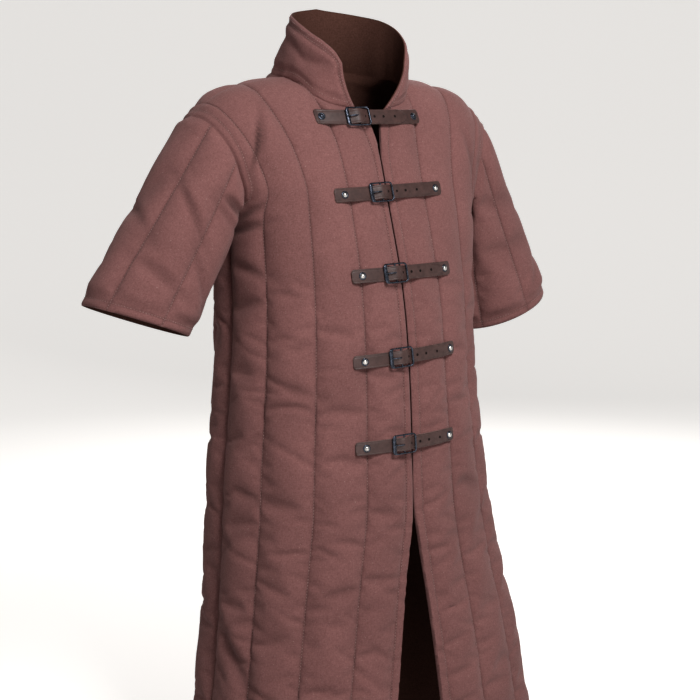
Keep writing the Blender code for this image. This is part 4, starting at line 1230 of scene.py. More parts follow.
@dataclass(frozen=True)
class Wiring:
    """A material's nodes, and ways to add to them."""

    tree: Tree
    shader: Node

    def feed(self, socket: bpy.types.NodeSocket, value: object) -> None:
        """Link a socket to another, or set it.

        Args:
            socket: an input.
            value: another socket, a colour or a number.
        """
        if isinstance(value, bpy.types.NodeSocket):
            self.tree.links.new(value, socket)
        elif isinstance(socket, bpy.types.NodeSocketColor) and isinstance(value, tuple):
            socket.default_value = (*value, 1)
        else:
            socket.default_value = value

    def add(self, kind: str, inputs: dict[str | int, object], **values: object) -> Node:
        """Add a node, set its properties and feed its inputs.

        Args:
            kind: the node's kind, as Blender names it.
            inputs: what feeds its inputs, by name or place.
            values: its properties.

        Returns:
            The node.
        """
        made = self.tree.nodes.new("ShaderNode" + kind)
        for key, value in values.items():
            setattr(made, key, value)
        for key, value in inputs.items():
            self.feed(made.inputs[key], value)
        return made

    def finish(self, **inputs: object) -> None:
        """Feed the shader's inputs, each named with _ for a space."""
        for key, value in inputs.items():
            self.feed(self.shader.inputs[key.replace("_", " ")], value)

    def place(self, name: str = "Object") -> object:
        """Coordinates."""
        return self.add("TexCoord", {}).outputs[name]

    def noise(self, vector: object, scale: float, detail: float, rough: float = 0.5) -> object:
        """A noise texture over the given coordinates."""
        inputs = {"Vector": vector, "Scale": scale, "Detail": detail, "Roughness": rough}
        return self.add("TexNoise", inputs).outputs["Fac"]

    def ramp(self, value: object, low: float, high: float, out: tuple[float, float] = (0.0, 1.0)) -> object:
        """Map a value's range to another, held at both ends."""
        inputs = {"Value": value, "From Min": low, "From Max": high, "To Min": out[0], "To Max": out[1]}
        return self.add("MapRange", inputs).outputs[0]

    def mix(self, factor: object, first: object, second: object, blend: str = "MIX") -> object:
        """Mix two colours, each a socket or a colour."""
        inputs = {0: factor, 6: first, 7: second}
        return self.add("Mix", inputs, data_type="RGBA", blend_type=blend).outputs[2]

    def maths(self, kind: str, first: object, second: object = 0.0) -> object:
        """A sum, product or the like of two values."""
        return self.add("Math", {0: first, 1: second}, operation=kind).outputs[0]

    def bump(self, height: object, distance: float, strength: float, under: object = None) -> object:
        """A bump of this height, over another if one is given."""
        inputs = {"Height": height, "Distance": distance, "Strength": strength}
        return self.add("Bump", inputs | ({"Normal": under} if under else {})).outputs[0]


class Finish:
    """A base for the finishes: a material with a Principled shader."""

    name: str
    slot: str

    def material(self) -> Material:
        """Make the material, or find it if it is made."""
        name = "look " + self.name
        found = bpy.data.materials.get(name)
        if found is not None:
            return found
        made = bpy.data.materials.new(name)
        made.use_nodes = True
        self.wire(Wiring(made.node_tree, made.node_tree.nodes["Principled BSDF"]))
        return made

    def wire(self, nodes: Wiring) -> None:
        """Add this finish's nodes.

        Args:
            nodes: the material's nodes.
        """
        raise NotImplementedError


@dataclass(frozen=True)
class WovenFinish(Finish):
    """A plain woven cloth, heathered, with pale specks, and painted shade in its grooves, seams, puckers and
    folds.
    """

    name: str = "quilted canvas"
    slot: str = "canvas"
    dark: Colour = (0.136, 0.053, 0.048)
    light: Colour = (0.262, 0.114, 0.107)
    speck: Colour = (0.40, 0.26, 0.24)
    threads_per_metre: float = 1250.0
    roughness: float = 0.92
    sheen: float = 0.12
    specular: float = 0.18
    speck_share: float = 0.735
    groove_shade: float = 0.38

    def wire(self, nodes: Wiring) -> None:
        """Weave, heather, specks and painted shade in grooves, seams and folds, then bumps of thread and of
        hand.
        """
        here, uv = nodes.place(), nodes.place("UV")
        split = nodes.add("SeparateXYZ", {0: uv})
        threads = []
        for axis in (0, 1):
            turn = nodes.maths("MULTIPLY", split.outputs[axis], self.threads_per_metre * math.pi)
            threads.append(nodes.maths("ABSOLUTE", nodes.maths("SINE", turn)))
        weave = nodes.maths("MINIMUM", *threads)
        slubs = []
        for stretch in ((700.0, 120.0, 1.0), (110.0, 620.0, 1.0)):
            stretched = nodes.add("Mapping", {"Scale": stretch, "Vector": uv}).outputs[0]
            slubs.append(nodes.noise(stretched, 1.0, 3.0, 0.6))
        blend = nodes.mix(0.55, nodes.mix(0.5, *slubs), nodes.noise(here, 430.0, 4.0, 0.7))
        cloth = nodes.mix(nodes.ramp(blend, 0.34, 0.66), self.dark, self.light)
        cloud = nodes.ramp(nodes.noise(here, 9.0, 3.0, 0.55), 0.30, 0.70, (0.88, 1.08))
        specks = nodes.noise(here, 560.0, 1.0, 0.5)
        found = nodes.ramp(specks, self.speck_share, self.speck_share + 0.03, (0.0, 0.6))
        flecked = nodes.mix(found, nodes.mix(1.0, cloth, cloud, "MULTIPLY"), self.speck)
        # Painted shade: a per-point amount from the mesh darkens the base colour in grooves, seams, puckers
        # and folds.
        groove = nodes.add("Attribute", {}, attribute_name="groove").outputs["Fac"]
        depth = nodes.ramp(groove, 0.0, 2.0, (1.0, 1.0 - 2 * self.groove_shade))
        soft = nodes.bump(nodes.noise(here, 70.0, 3.0, 0.6), 0.0011, 0.5)
        rough = nodes.bump(blend, 0.0005, 0.7, soft)
        nodes.finish(
            Base_Color=nodes.mix(1.0, flecked, depth, "MULTIPLY"),
            Roughness=self.roughness,
            Sheen_Weight=self.sheen,
            Sheen_Roughness=0.55,
            Sheen_Tint=(0.85, 0.62, 0.60),
            Specular_IOR_Level=self.specular,
            Normal=nodes.bump(weave, 0.00022, 0.6, rough),
        )


CANVAS = WovenFinish()
LINING = WovenFinish(
    "lining", "lining", (0.052, 0.022, 0.016), (0.100, 0.044, 0.033), (0.12, 0.07, 0.06),
    threads_per_metre=1900.0, sheen=0.0, specular=0.03, speck_share=0.79,
)  # fmt: skip


@dataclass(frozen=True)
class ThreadFinish(Finish):
    """A twisted sewing thread, a little paler than the canvas."""

    name: str = "sewing thread"
    slot: str = "canvas"
    dark: Colour = (0.18, 0.085, 0.076)
    light: Colour = (0.38, 0.23, 0.21)

    def wire(self, nodes: Wiring) -> None:
        """A slow change of tone along the thread, and a fine twist."""
        tone = nodes.ramp(nodes.noise(nodes.place(), 90.0, 4.0, 0.6), 0.35, 0.65)
        nodes.finish(
            Base_Color=nodes.mix(tone, self.dark, self.light),
            Roughness=0.7,
            Specular_IOR_Level=0.3,
            Normal=nodes.bump(nodes.noise(nodes.place(), 2500.0, 2.0, 0.5), 0.0001, 0.5),
        )


@dataclass(frozen=True)
class LeatherFinish(Finish):
    """A satin leather with fine grain, lighter where it is rubbed."""

    name: str = "strap leather"
    slot: str = "leather"
    dark: Colour = (0.030, 0.0130, 0.0110)
    light: Colour = (0.066, 0.032, 0.028)
    roughness: float = 0.46
    specular: float = 0.32

    def wire(self, nodes: Wiring) -> None:
        """Grain, cloudy tone and rubbed high points."""
        here = nodes.place()
        grain = nodes.add("TexVoronoi", {"Vector": here, "Scale": 900.0}, feature="DISTANCE_TO_EDGE")
        cloud = nodes.noise(here, 110.0, 5.0, 0.62)
        pores = nodes.bump(grain.outputs["Distance"], 0.00015, 0.5)
        nodes.finish(
            Base_Color=nodes.mix(nodes.ramp(cloud, 0.32, 0.70), self.dark, self.light),
            Specular_IOR_Level=self.specular,
            Roughness=nodes.ramp(cloud, 0.3, 0.7, (self.roughness + 0.1, self.roughness - 0.06)),
            Normal=nodes.bump(cloud, 0.0004, 0.4, pores),
        )


@dataclass(frozen=True)
class MetalFinish(Finish):
    """A cast or plated metal, a little scratched and uneven."""

    name: str
    slot: str
    dark: Colour
    light: Colour
    roughness: float
    metallic: float = 1.0
    specular: float = 0.5

    def wire(self, nodes: Wiring) -> None:
        """Cloudy tone and uneven polish."""
        cloud = nodes.noise(nodes.place(), 260.0, 4.0, 0.6)
        nodes.finish(
            Base_Color=nodes.mix(nodes.ramp(cloud, 0.35, 0.68), self.dark, self.light),
            Metallic=self.metallic,
            Specular_IOR_Level=self.specular,
            Roughness=nodes.ramp(cloud, 0.3, 0.7, (self.roughness - 0.06, self.roughness + 0.12)),
            Normal=nodes.bump(cloud, 0.0002, 0.35),
        )


LEATHER = LeatherFinish()
CUT_EDGE = LeatherFinish("leather edge", "leather", (0.12, 0.080, 0.070), (0.30, 0.21, 0.185), 0.6)
# A near-black finish for each hole's floor: painted shade that stands for the hole.
PAINTED_HOLE_SHADE = LeatherFinish("punched leather", "leather", (0.003, 0.002, 0.002), (0.008, 0.005, 0.004), 0.85, 0.1)
GUNMETAL = MetalFinish("gunmetal", "gunmetal", (0.014, 0.016, 0.022), (0.050, 0.058, 0.080), 0.23, 0.85)
STEEL = MetalFinish("rivet steel", "steel", (0.30, 0.29, 0.28), (0.62, 0.60, 0.57), 0.26)


# ---- cloth pieces
@dataclass(frozen=True)
class Cut:
    """A cut piece's flat size: width, length, and its area's share of that rectangle."""

    width: float
    length: float
    share: float
    held: str = "hung"

    def declare(self, thing: Object, node: str, finish: Finish) -> None:
        """Args:
            thing: the piece's object.
            node: the node that it takes over from.
            finish: not used.
        """
        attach(thing, "root")
        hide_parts(node)


@dataclass
class WallMesh:
    """A closed wall between an outer and an inner grid of points."""

    name: str
    outer: Array
    inner: Array
    closed: bool = False
    sharp: float = 62.0
    # Painted shade for the outer face's colour at each point, or none.
    groove: Array | None = None

    def build(self, finishes: Sequence[Finish]) -> Object:
        """Make the mesh: two sheets joined by their rims.

        Args:
            finishes: the outer face's finish, the inner face's and, if it differs, the rim's.

        Returns:
            The object, with UVs in metres along the cloth.
        """
        rows, columns = self.outer.shape[:2]
        if self.closed:
            columns += 1
        mesh = bmesh.new()
        layer = mesh.loops.layers.uv.new("UVMap")
        # A point layer that carries the painted shade to the canvas finish; the inner sheet gets none.
        depth = mesh.verts.layers.float.new("groove")
        painted_shades = np.zeros(self.outer.shape[:2]) if self.groove is None else self.groove
        for points, index in ((self.outer, 0), (self.inner, 1)):
            before = len(mesh.verts)
            bmesh.ops.create_grid(mesh, x_segments=columns - 1, y_segments=rows - 1, size=0.5)
            mesh.verts.ensure_lookup_table()
            grid, groove = points, painted_shades * (1 - index)
            if self.closed:
                grid, groove = (np.concatenate([a, a[:, :1]], axis=1) for a in (grid, groove))
            groove = groove.reshape(-1).tolist()
            verts = mesh.verts[before:]
            u, v = self.flat_places(grid)
            for at, (vert, place) in enumerate(zip(verts, grid.reshape(-1, 3).tolist())):
                vert.co = place
                vert[depth] = groove[at]
                for loop in vert.link_loops:
                    loop[layer].uv = (u[at], v[at])
                    loop.face.material_index = index
        if self.closed:
            bmesh.ops.remove_doubles(mesh, verts=mesh.verts, dist=1e-6)
        rim = [edge for edge in mesh.edges if edge.is_boundary]
        before = len(mesh.faces)
        if self.closed:
            self.bridge_ends(mesh, rim)
        else:
            bmesh.ops.bridge_loops(mesh, edges=rim)
        mesh.faces.ensure_lookup_table()
        for face in mesh.faces[before:]:
            face.material_index = 2 if len(finishes) > 2 else 0
        bmesh.ops.recalc_face_normals(mesh, faces=mesh.faces)
        return finished_object(self.name, mesh, finishes, self.sharp)

    def bridge_ends(self, mesh: BMesh, rim: list[bmesh.types.BMEdge]) -> None:
        """Join the outer and inner sheets of a tube, one end at a time.

        Args:
            mesh: the wall, without its rims.
            rim: its open edges.
        """
        first = Vector(self.outer[0].mean(axis=0).tolist())
        last = Vector(self.outer[-1].mean(axis=0).tolist())
        ends: tuple[list, list] = ([], [])
        for edge in rim:
            middle = (edge.verts[0].co + edge.verts[1].co) / 2
            ends[0 if (middle - first).length < (middle - last).length else 1].append(edge)
        for edges in ends:
            bmesh.ops.bridge_loops(mesh, edges=edges)

    @staticmethod
    def flat_places(grid: Array) -> tuple[list[float], list[float]]:
        """Where each point lies on the flat cloth, across and along, in metres.

        Args:
            grid: the sheet's points.

        Returns:
            The places across, and the places along.
        """
        across = np.linalg.norm(np.diff(grid, axis=1), axis=-1).mean(axis=0)
        along = np.linalg.norm(np.diff(grid, axis=0), axis=-1).mean(axis=1)
        across, along = (np.concatenate([[0], np.cumsum(steps)]) for steps in (across, along))
        v, u = np.meshgrid(along, across, indexing="ij")
        return u.reshape(-1).tolist(), v.reshape(-1).tolist()


def finished_object(name: str, mesh: BMesh, finishes: Sequence[Finish], sharp: float) -> Object:
    """Turn a bmesh into a named object at the origin, smooth below an angle.

    Args:
        name: the piece's name.
        mesh: its mesh, which is freed.
        finishes: its materials, in order.
        sharp: the angle, in degrees.

    Returns:
        The object.
    """
    data = bpy.data.meshes.new(name)
    mesh.to_mesh(data)
    mesh.free()
    for finish in finishes:
        data.materials.append(finish.material())
    data.shade_smooth()
    data.set_sharp_from_angle(angle=math.radians(sharp))
    return placed("look_" + name, data)


@dataclass
class Stitching:
    """Rows of stitches along a piece's seams: one small shape, repeated."""

    name: str
    pitch: float = 0.0046
    length: float = 0.0031
    radius: float = 0.00048
    sink: float = -0.00018
    places: list[Array] = field(default_factory=list)

    def sew(self, points: Array, normals: Array) -> None:
        """Lay stitches along a line that has a normal at each of its points.

        Args:
            points: the line's points.
            normals: the cloth's direction at each.
        """
        run = run_lengths(*points.T)
        at = np.arange(self.pitch / 2, run[-1], self.pitch)
        if not len(at):
            return
        centre, facing = read_line(at, run, points), read_line(at, run, normals)
        ahead, behind = (read_line(at + step, run, points) for step in (self.pitch / 4, -self.pitch / 4))
        tangent = unit(ahead - behind + 1e-9)
        facing = unit(facing - (facing * tangent).sum(axis=-1, keepdims=True) * tangent)
        side = np.cross(facing, tangent)
        self.places.append(np.stack([centre - facing * self.sink, tangent, side, facing], axis=1))

    def template(self) -> tuple[Array, NDArray[np.int64]]:
        """One stitch: a small drawn-out bead."""
        mesh = bmesh.new()
        bmesh.ops.create_icosphere(mesh, subdivisions=1, radius=1.0)
        bmesh.ops.scale(mesh, vec=(self.length / 2, self.radius, self.radius * 0.8), verts=mesh.verts)
        mesh.verts.index_update()
        points = np.array([tuple(vert.co) for vert in mesh.verts])
        faces = np.array([[vert.index for vert in face.verts] for face in mesh.faces])
        mesh.free()
        return points, faces

    def build(self) -> Object:
        """Repeat the stitch at every place, in one mesh."""
        bead, faces = self.template()
        places = np.concatenate(self.places)
        points = places[:, None, 0] + np.einsum("vi,nij->nvj", bead, places[:, 1:])
        corners = faces[None] + len(bead) * np.arange(len(places))[:, None, None]
        data = bpy.data.meshes.new("stitches_" + self.name)
        data.from_pydata(points.reshape(-1, 3), [], corners.reshape(-1, 3))
        data.shade_smooth()
        data.materials.append(ThreadFinish().material())
        thing = placed("stitches_" + self.name, data)
        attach(thing, "root")
        return thing


@dataclass
class ClothPiece:
    """One quilted cut piece: a closed wall with a canvas face and a plain inside."""

    grid: FineGrid
    wadding: Wadding
    cut: Cut
    puckering: Puckering

    def __post_init__(self) -> None:
        """Measure how far each point lies from the panel's edges."""
        self.along, self.across = self.grid.distances(0), self.grid.distances(1)
        self.to_end = self.along[-1:] - self.along
        self.to_side = self.across[:, -1:] - self.across
        self.face = self.grid.inner

    def edge_distance(self) -> Array:
        """How far each point lies from the piece's nearest sewn or cut edge."""
        raise NotImplementedError

    def fill(self) -> Array:
        """How full of wadding the piece is at each point, from 0 to 1."""
        raise NotImplementedError

    def up(self) -> Array:
        """The height that the piece's creases are measured by."""
        return self.grid.inner[..., 2]

    def loose(self) -> Array:
        """How much of its slack the canvas has at each point, from 0 to 1."""
        raise NotImplementedError

    def sewn(self) -> Array:
        """1 where the canvas is sewn down."""
        held = np.zeros(self.along.shape)
        held[:, self.grid.lines] = 1
        held[0] = held[-1] = 1
        if not self.grid.closed:
            held[:, 0] = held[:, -1] = 1
        return held

    def sew(self, stitching: Stitching) -> None:
        """Lay the piece's stitches.

        Args:
            stitching: where the stitches go.
        """
        raise NotImplementedError

    def groove(self) -> Array:
        """Painted shade in grooves, seams, puckers and creases at each point: from 0 to 1, and to 2 in a deep
        fold.
        """
        line = (1 - self.wadding.profile(self.grid))[None, :] ** 9
        press = self.puckering.press(self.grid, self.along, self.up())
        fold = sum(-c.height(self.across, self.up()) for c in CREASES[self.grid.name] if c.depth < 0)
        shallow = np.clip(line + 0.5 * np.clip(press, 0, 1) + 110 * fold + self.painted_seam_shade(), 0, 1)
        return shallow + np.clip(fold / 0.009 - 1, 0, 1)

    def painted_seam_shade(self) -> Array:
        """Painted shade along a hem's or band's stitch line at each point."""
        return np.zeros(self.along.shape)

    def ceiling(self) -> Array:
        """The most that the wall may rise to at each point."""
        return np.full(self.along.shape, 0.05)

    def height(self) -> Array:
        """How high the wadding stands, with its puckers."""
        height = self.wadding.heights(self.grid, self.up())
        return height * (1 - self.puckering.press(self.grid, self.along, self.up()))

    def bite(self) -> Array:
        """How far the thread bites into the wall at each point, from 0 to 1."""
        return (1 - self.wadding.profile(self.grid))[None, :] ** 24

    def thickness(self) -> Array:
        """The wall's thickness, before the canvas draws up."""
        seam = self.wadding.seam * (0.45 + 0.55 * rounded(self.edge_distance(), self.wadding.seam_roll))
        height = self.height()
        for crease in CREASES[self.grid.name]:
            height += crease.height(self.across, self.up())
        return seam * (1 - 0.30 * self.bite()) + self.fill() * np.clip(height, 0.0006, None)

    def shape(self, others: Iterable[BVHTree]) -> None:
        """Shape the canvas face: wadding, room beside the seams, then the drawing up.

        Args:
            others: the other panels' search trees.
        """
        room = Room()
        limits = room.limits(self.grid, others)
        thickness = room.softened(self.thickness(), limits)
        normals = self.grid.normals
        start = self.grid.inner + self.drawn_in(room.seam_gap / 2) + normals * thickness[..., None]
        moved = Drawing().settle(self.grid, start, self.sewn(), self.loose())
        rise = (moved * normals).sum(axis=-1)
        top = np.minimum(limits * 0.95, self.ceiling())
        kept = np.minimum(np.maximum(rise, np.minimum(0, room.least - thickness)), top - thickness)
        self.face = start + moved + normals * (kept - rise)[..., None]

    def drawn_in(self, gap: float) -> Array:
        """How each edge point moves in from its seam, square to the wall's normal.

        Args:
            gap: how far.

        Returns:
            Each point's movement.
        """
        grid = self.grid.inner
        shift = np.zeros_like(grid)
        edges = [(0, 1, 0), (-1, -2, 0)] + ([] if self.grid.closed else [(0, 1, 1), (-1, -2, 1)])
        for edge, inside, axis in edges:
            line, normal = np.take(grid, edge, axis=axis), np.take(self.grid.normals, edge, axis=axis)
            if axis == 0 and self.grid.closed:
                run = np.roll(line, -1, axis=0) - np.roll(line, 1, axis=0)
            else:
                run = np.gradient(line, axis=0)
            side = unit(np.cross(run, normal))
            towards = np.take(grid, inside, axis=axis) - line
            side *= np.sign((side * towards).sum(axis=-1, keepdims=True)) * gap
            np.moveaxis(shift, axis, 0)[edge] += side
        return shift

    def face_normals(self) -> Array:
        """The canvas face's own directions."""
        found = grid_normals(self.face, self.grid.closed, self.grid.inner)
        return found * np.sign((found * self.grid.normals).sum(axis=-1, keepdims=True))

    def contour(self, field_values: Array, level: float, axis: int) -> tuple[Array, Array]:
        """Where a value that rises or falls steadily along an axis reaches a level.

        Args:
            field_values: a value at each point.
            level: the value to find.
            axis: 0 to look up each column, 1 to look across each row.

        Returns:
            The points found, and the directions there.
        """
        values = np.moveaxis(field_values, axis, 0)
        both = np.concatenate([self.face, self.face_normals()], axis=-1)
        both = np.moveaxis(both, axis, 0)
        found = np.empty(both.shape[1:])
        for i in range(values.shape[1]):
            order = np.argsort(values[:, i])
            for j in range(6):
                found[i, j] = np.interp(level, values[order, i], both[order, i, j])
        return found[:, :3], unit(found[:, 3:])

    def build(self) -> Object:
        """Make the wall's mesh and object, with its stitches."""
        inner = self.grid.inner + self.drawn_in(Room().seam_gap / 2)
        wall = WallMesh(self.grid.name, self.face, inner, self.grid.closed, groove=self.groove())
        thing = wall.build((CANVAS, LINING))
        self.cut.declare(thing, self.grid.name, CANVAS)
        stitching = Stitching(self.grid.name)
        self.sew(stitching)
        stitching.build()
        return thing


@dataclass
class BodyPiece(ClothPiece):
    """A front or the back, quilted in channels from hem to shoulder."""

    hem_stitch: float = 0.0125
    band_stitch: float = 0.0130
    front_gap: float = 0.0011

    def arm_distance(self) -> Array:
        """How far across each yoke point lies from an armhole, and far off below the yoke."""
        far = self.to_side
        if self.grid.name == "back":
            far = np.minimum(far, self.across)
        below = 1 - step_up(self.grid.rows, 21.7, 23.4)[:, None]
        return far + below * 0.05

    def edge_distance(self) -> Array:
        """To the hem, the shoulder, the side seams and, on the back, both sides."""
        edge = np.minimum(np.minimum(self.to_end, self.to_side), self.along)
        return np.minimum(edge, self.across) if self.grid.name == "back" else edge

    def drawn_in(self, gap: float) -> Array:
        """The fronts also stand a little apart."""
        shift = super().drawn_in(gap)
        if self.grid.name.startswith("front"):
            z = self.grid.inner[:, 0, 2]
            apart = self.front_gap * step_up(-z, 0.085, 0.125) * (1 - step_up(-z, 0.56, 0.66))
            for column, share in ((0, 1.0), (1, 0.7), (2, 0.35)):
                away = unit(self.grid.inner[:, 4] - self.grid.inner[:, 0])
                shift[:, column] += away * (apart * share)[:, None]
        return shift

    def fill(self) -> Array:
        """Channels between a flat hem, flat armhole bands, flat front edges and the shoulder."""
        fill = self.wadding.profile(self.grid)[None, :] * np.ones_like(self.along)
        hem = step_up(self.along, 0.013, 0.030) + 0.30 * peak(self.along, 0.006, 0.008)
        top = rounded(self.to_end, 0.016)
        arm = self.arm_distance()
        raised = step_up(arm, 0.013, 0.026) * (0.45 + 0.55 * step_up(arm, 0.026, 0.060))
        band = raised + 0.20 * peak(arm, 0.006, 0.0075)
        fill *= np.minimum(hem, 1) * top * np.minimum(band, 1)
        if self.grid.name.startswith("front"):
            edge = self.grid.columns <= 2
            fill[:, edge] = 0.34 * np.minimum(1, hem[:, edge] + 0.3)
        return fill

    def painted_seam_shade(self) -> Array:
        """Painted shade along the hem's line and the armhole bands' lines."""
        hem = trace(self.along, self.hem_stitch, STITCH_SHADE_HALF_WIDTH)
        return 0.7 * (hem + trace(self.arm_distance(), self.band_stitch, STITCH_SHADE_HALF_WIDTH))

    def ceiling(self) -> Array:
        """Kept down under the straps."""
        x, z = self.grid.inner[..., 0], self.grid.inner[..., 2]
        top = super().ceiling()
        if self.grid.name == "back":
            return top
        for size in CLOSURES:
            off = np.abs(z - size.z - size.rise * x)
            beyond = np.maximum(size.strap_end - x, x - size.tab_end)
            top = np.minimum(top, 0.0110 + 0.4 * np.clip(np.maximum(off - 0.016, beyond - 0.004), 0, 1))
        top[:, 0] = 0.00095 + 0.02 * step_up(z[:, 0], -0.115, -0.085)
        return top

    def loose(self) -> Array:
        """Little slack over the chest, all of it from the waist down."""
        return self.puckering.strength(self.up())

    def sewn(self) -> Array:
        """Also the hem, the armhole bands, the front edges and the shoulder's seam."""
        held = super().sewn()
        held[(self.along < 0.015) | (self.to_end < 0.010)] = 1
        held[self.arm_distance() < 0.015] = 1
        if self.grid.name.startswith("front"):
            held[:, self.grid.columns <= 2] = 1
        return held

    def sew(self, stitching: Stitching) -> None:
        """Along each channel, the hem and the armhole bands."""
        normals = self.face_normals()
        inside = self.grid.lines[1:-1]
        for line in inside:
            stitching.sew(self.face[:, line], normals[:, line])
        stitching.sew(*self.contour(self.along, self.hem_stitch, 0))
        yoke = self.grid.rows >= 22.6
        sides = [self.to_side]
        if self.grid.name == "back":
            sides.append(self.across)
        for side in sides:
            points, facing = self.contour(side, self.band_stitch, 1)
            stitching.sew(points[yoke], facing[yoke])


@dataclass
class SleevePiece(ClothPiece):
    """A half sleeve, quilted down its length."""

    cuff_stitch: float = 0.0125

    def up(self) -> Array:
        """Minus how far down the sleeve each point lies."""
        return -self.along

    def edge_distance(self) -> Array:
        """To the armhole and the cuff."""
        return np.minimum(self.along, self.to_end)

    def fill(self) -> Array:
        """Channels that end at a flat cuff hem."""
        fill = self.wadding.profile(self.grid)[None, :] * np.ones_like(self.along)
        hem = step_up(self.to_end, 0.013, 0.034) + 0.12 * peak(self.to_end, 0.006, 0.008)
        return fill * np.minimum(hem, 1) * rounded(self.along, 0.014)

    def painted_seam_shade(self) -> Array:
        """Painted shade along the cuff hem's line."""
        return 0.7 * trace(self.to_end, self.cuff_stitch, STITCH_SHADE_HALF_WIDTH)

    def loose(self) -> Array:
        """A little slack at the cap, more near the cuff and under the arm."""
        under = (1 + np.cos(2 * math.pi * self.grid.columns / AROUND))[None, :] / 2
        return 0.18 + 0.22 * step_up(self.along, 0.12, 0.30) + 0.35 * under

    def sewn(self) -> Array:
        """Also the cuff's hem."""
        held = super().sewn()
        held[self.to_end < 0.015] = 1
        return held

    def sew(self, stitching: Stitching) -> None:
        """Down each channel and round the cuff."""
        normals = self.face_normals()
        for line in self.grid.lines:
            stitching.sew(self.face[:, line], normals[:, line])
        points, facing = self.contour(self.to_end, self.cuff_stitch, 0)
        stitching.sew(np.concatenate([points, points[:1]]), np.concatenate([facing, facing[:1]]))


@dataclass
class CollarPiece(ClothPiece):
    """The stand collar: a little wadding, pressed flat at its seam and edges."""

    edge_stitches: tuple[float, float] = (0.0045, 0.0110)
    base_stitch: float = 0.0100

    def border(self) -> Array:
        """How far each point lies from the collar's free edges."""
        side = np.minimum(self.across, self.to_side)
        return np.minimum(side, self.to_end)

    def up(self) -> Array:
        """How far up the collar each point lies."""
        return self.along

    def edge_distance(self) -> Array:
        """To the neckline and the free edges."""
        return np.minimum(self.border(), self.along)

    def fill(self) -> Array:
        """A flat stitched edge round a softly filled middle."""
        edge = self.border()
        fill = step_up(edge, 0.010, 0.022) + 0.25 * peak(edge, 0.0065, 0.005)
        return fill * (step_up(self.along, 0.009, 0.024) + 0.3 * peak(self.along, 0.005, 0.005))

    def height(self) -> Array:
        """An even wadding, without puckers."""
        return np.full(self.along.shape, self.wadding.padding)

    def bite(self) -> Array:
        """None, as no channel is sewn."""
        return np.zeros(self.along.shape)

    def groove(self) -> Array:
        """Painted shade, deepest along the stitched edge."""
        return 0.6 * trace(self.border(), self.edge_stitches[1], 0.0020)

    def loose(self) -> Array:
        """A little slack all over."""
        return np.full(self.along.shape, 0.35)

    def sewn(self) -> Array:
        """The edges and the base."""
        held = super().sewn()
        held[(self.border() < 0.012) | (self.along < 0.010)] = 1
        return held

    def sew(self, stitching: Stitching) -> None:
        """Two rows inside the free edges and one above the neckline."""
        normals = self.face_normals()
        for inset in self.edge_stitches:
            stitching.sew(*self.inset_line(inset, normals))
        stitching.sew(*self.contour(self.along, self.base_stitch, 0))

    def inset_line(self, inset: float, normals: Array) -> tuple[Array, Array]:
        """A line this far inside the front edges and the top.

        Args:
            inset: how far inside.
            normals: the face's own directions.

        Returns:
            The line's points, and the directions there.
        """
        left, facing_left = self.contour(self.across, inset, 1)
        right, facing_right = self.contour(self.to_side, inset, 1)
        over, facing_over = self.contour(self.to_end, inset, 0)
        low = self.along.mean(axis=1) < self.along[-1].mean() - inset
        inside = (self.across[-1] > inset) & (self.across[-1, -1] - self.across[-1] > inset)
        points = np.concatenate([left[low], over[inside], right[low][::-1]])
        facing = np.concatenate([facing_left[low], facing_over[inside], facing_right[low][::-1]])
        return points, facing


@dataclass
class LiningPiece:
    """A dark lining: a thin wall inside a quilted panel, this clear of the surface it follows."""

    name: str
    grid: FineGrid
    clearance: Array
    cut: Cut
    wall: float = 0.0012

    def build(self) -> Object:
        """Make the lining's mesh and object."""
        out = self.grid.normals
        outer = self.grid.inner - out * self.clearance[..., None]
        inner = outer - out * self.wall
        thing = WallMesh(self.name, outer, inner).build((LINING, LINING))
        self.cut.declare(thing, self.name, LINING)
        return thing


def report(thing: Object) -> None:
    """Log a finished piece."""
    log.info("%s: %d faces", thing.name, len(thing.data.polygons))


class Gambeson:
    """The whole garment's cloth."""

    def __init__(self, torso: TorsoForm) -> None:
        """Draw the form and lay out the pieces."""
        self.form = ShellForm(torso)
        body, collar = Wadding(), Wadding(padding=0.0042)
        grids = self.form.grids
        sleeves = {"spacing": 0.040, "depth": 0.45, "smooth_to": 0.10, "full_from": -0.30}
        self.pieces: list[ClothPiece] = [
            BodyPiece(grids["front_right"], body, Cut(0.345, 1.130, 0.92), Puckering(11)),
            BodyPiece(grids["front_left"], body, Cut(0.375, 1.130, 0.90), Puckering(23)),
            BodyPiece(grids["back"], body, Cut(0.700, 1.160, 0.90), Puckering(37)),
            SleevePiece(grids["sleeve_right"], body, Cut(0.520, 0.345, 0.92), Puckering(41, **sleeves)),
            SleevePiece(grids["sleeve_left"], body, Cut(0.520, 0.370, 0.92), Puckering(53, **sleeves)),
            CollarPiece(grids["collar"], collar, Cut(0.470, 0.095, 0.90), Puckering(61)),
        ]

    def build(self) -> None:
        """Build and dress every piece of cloth."""
        trees = {name: grid.tree() for name, grid in self.form.grids.items()}
        for piece in self.pieces:
            piece.shape([tree for name, tree in trees.items() if name != piece.grid.name])
        for piece in (*self.pieces, *self.linings()):
            report(piece.build())

    def linings(self) -> list[LiningPiece]:
        """The linings that show: behind the back, and inside the collar."""
        back = self.form.grids["back"]
        shown = (back.columns >= 2) & (back.columns <= 30)
        inner, normals = back.inner[:, shown], back.normals[:, shown]
        part = FineGrid("lining_back", inner, normals, back.rows, back.columns[shown], back.lines)
        clearance = np.full(part.inner.shape[:2], 0.0040)
        clearance[-5:] = np.linspace(0.0040, 0.0003, 5)[:, None]
        collar = self.form.grids["collar"]
        close = np.full(collar.inner.shape[:2], 0.0003)
        return [
            LiningPiece("lining_back", part, clearance, Cut(0.620, 1.150, 0.92)),
            LiningPiece("lining_collar", collar, close, Cut(0.460, 0.090, 0.90)),
        ]


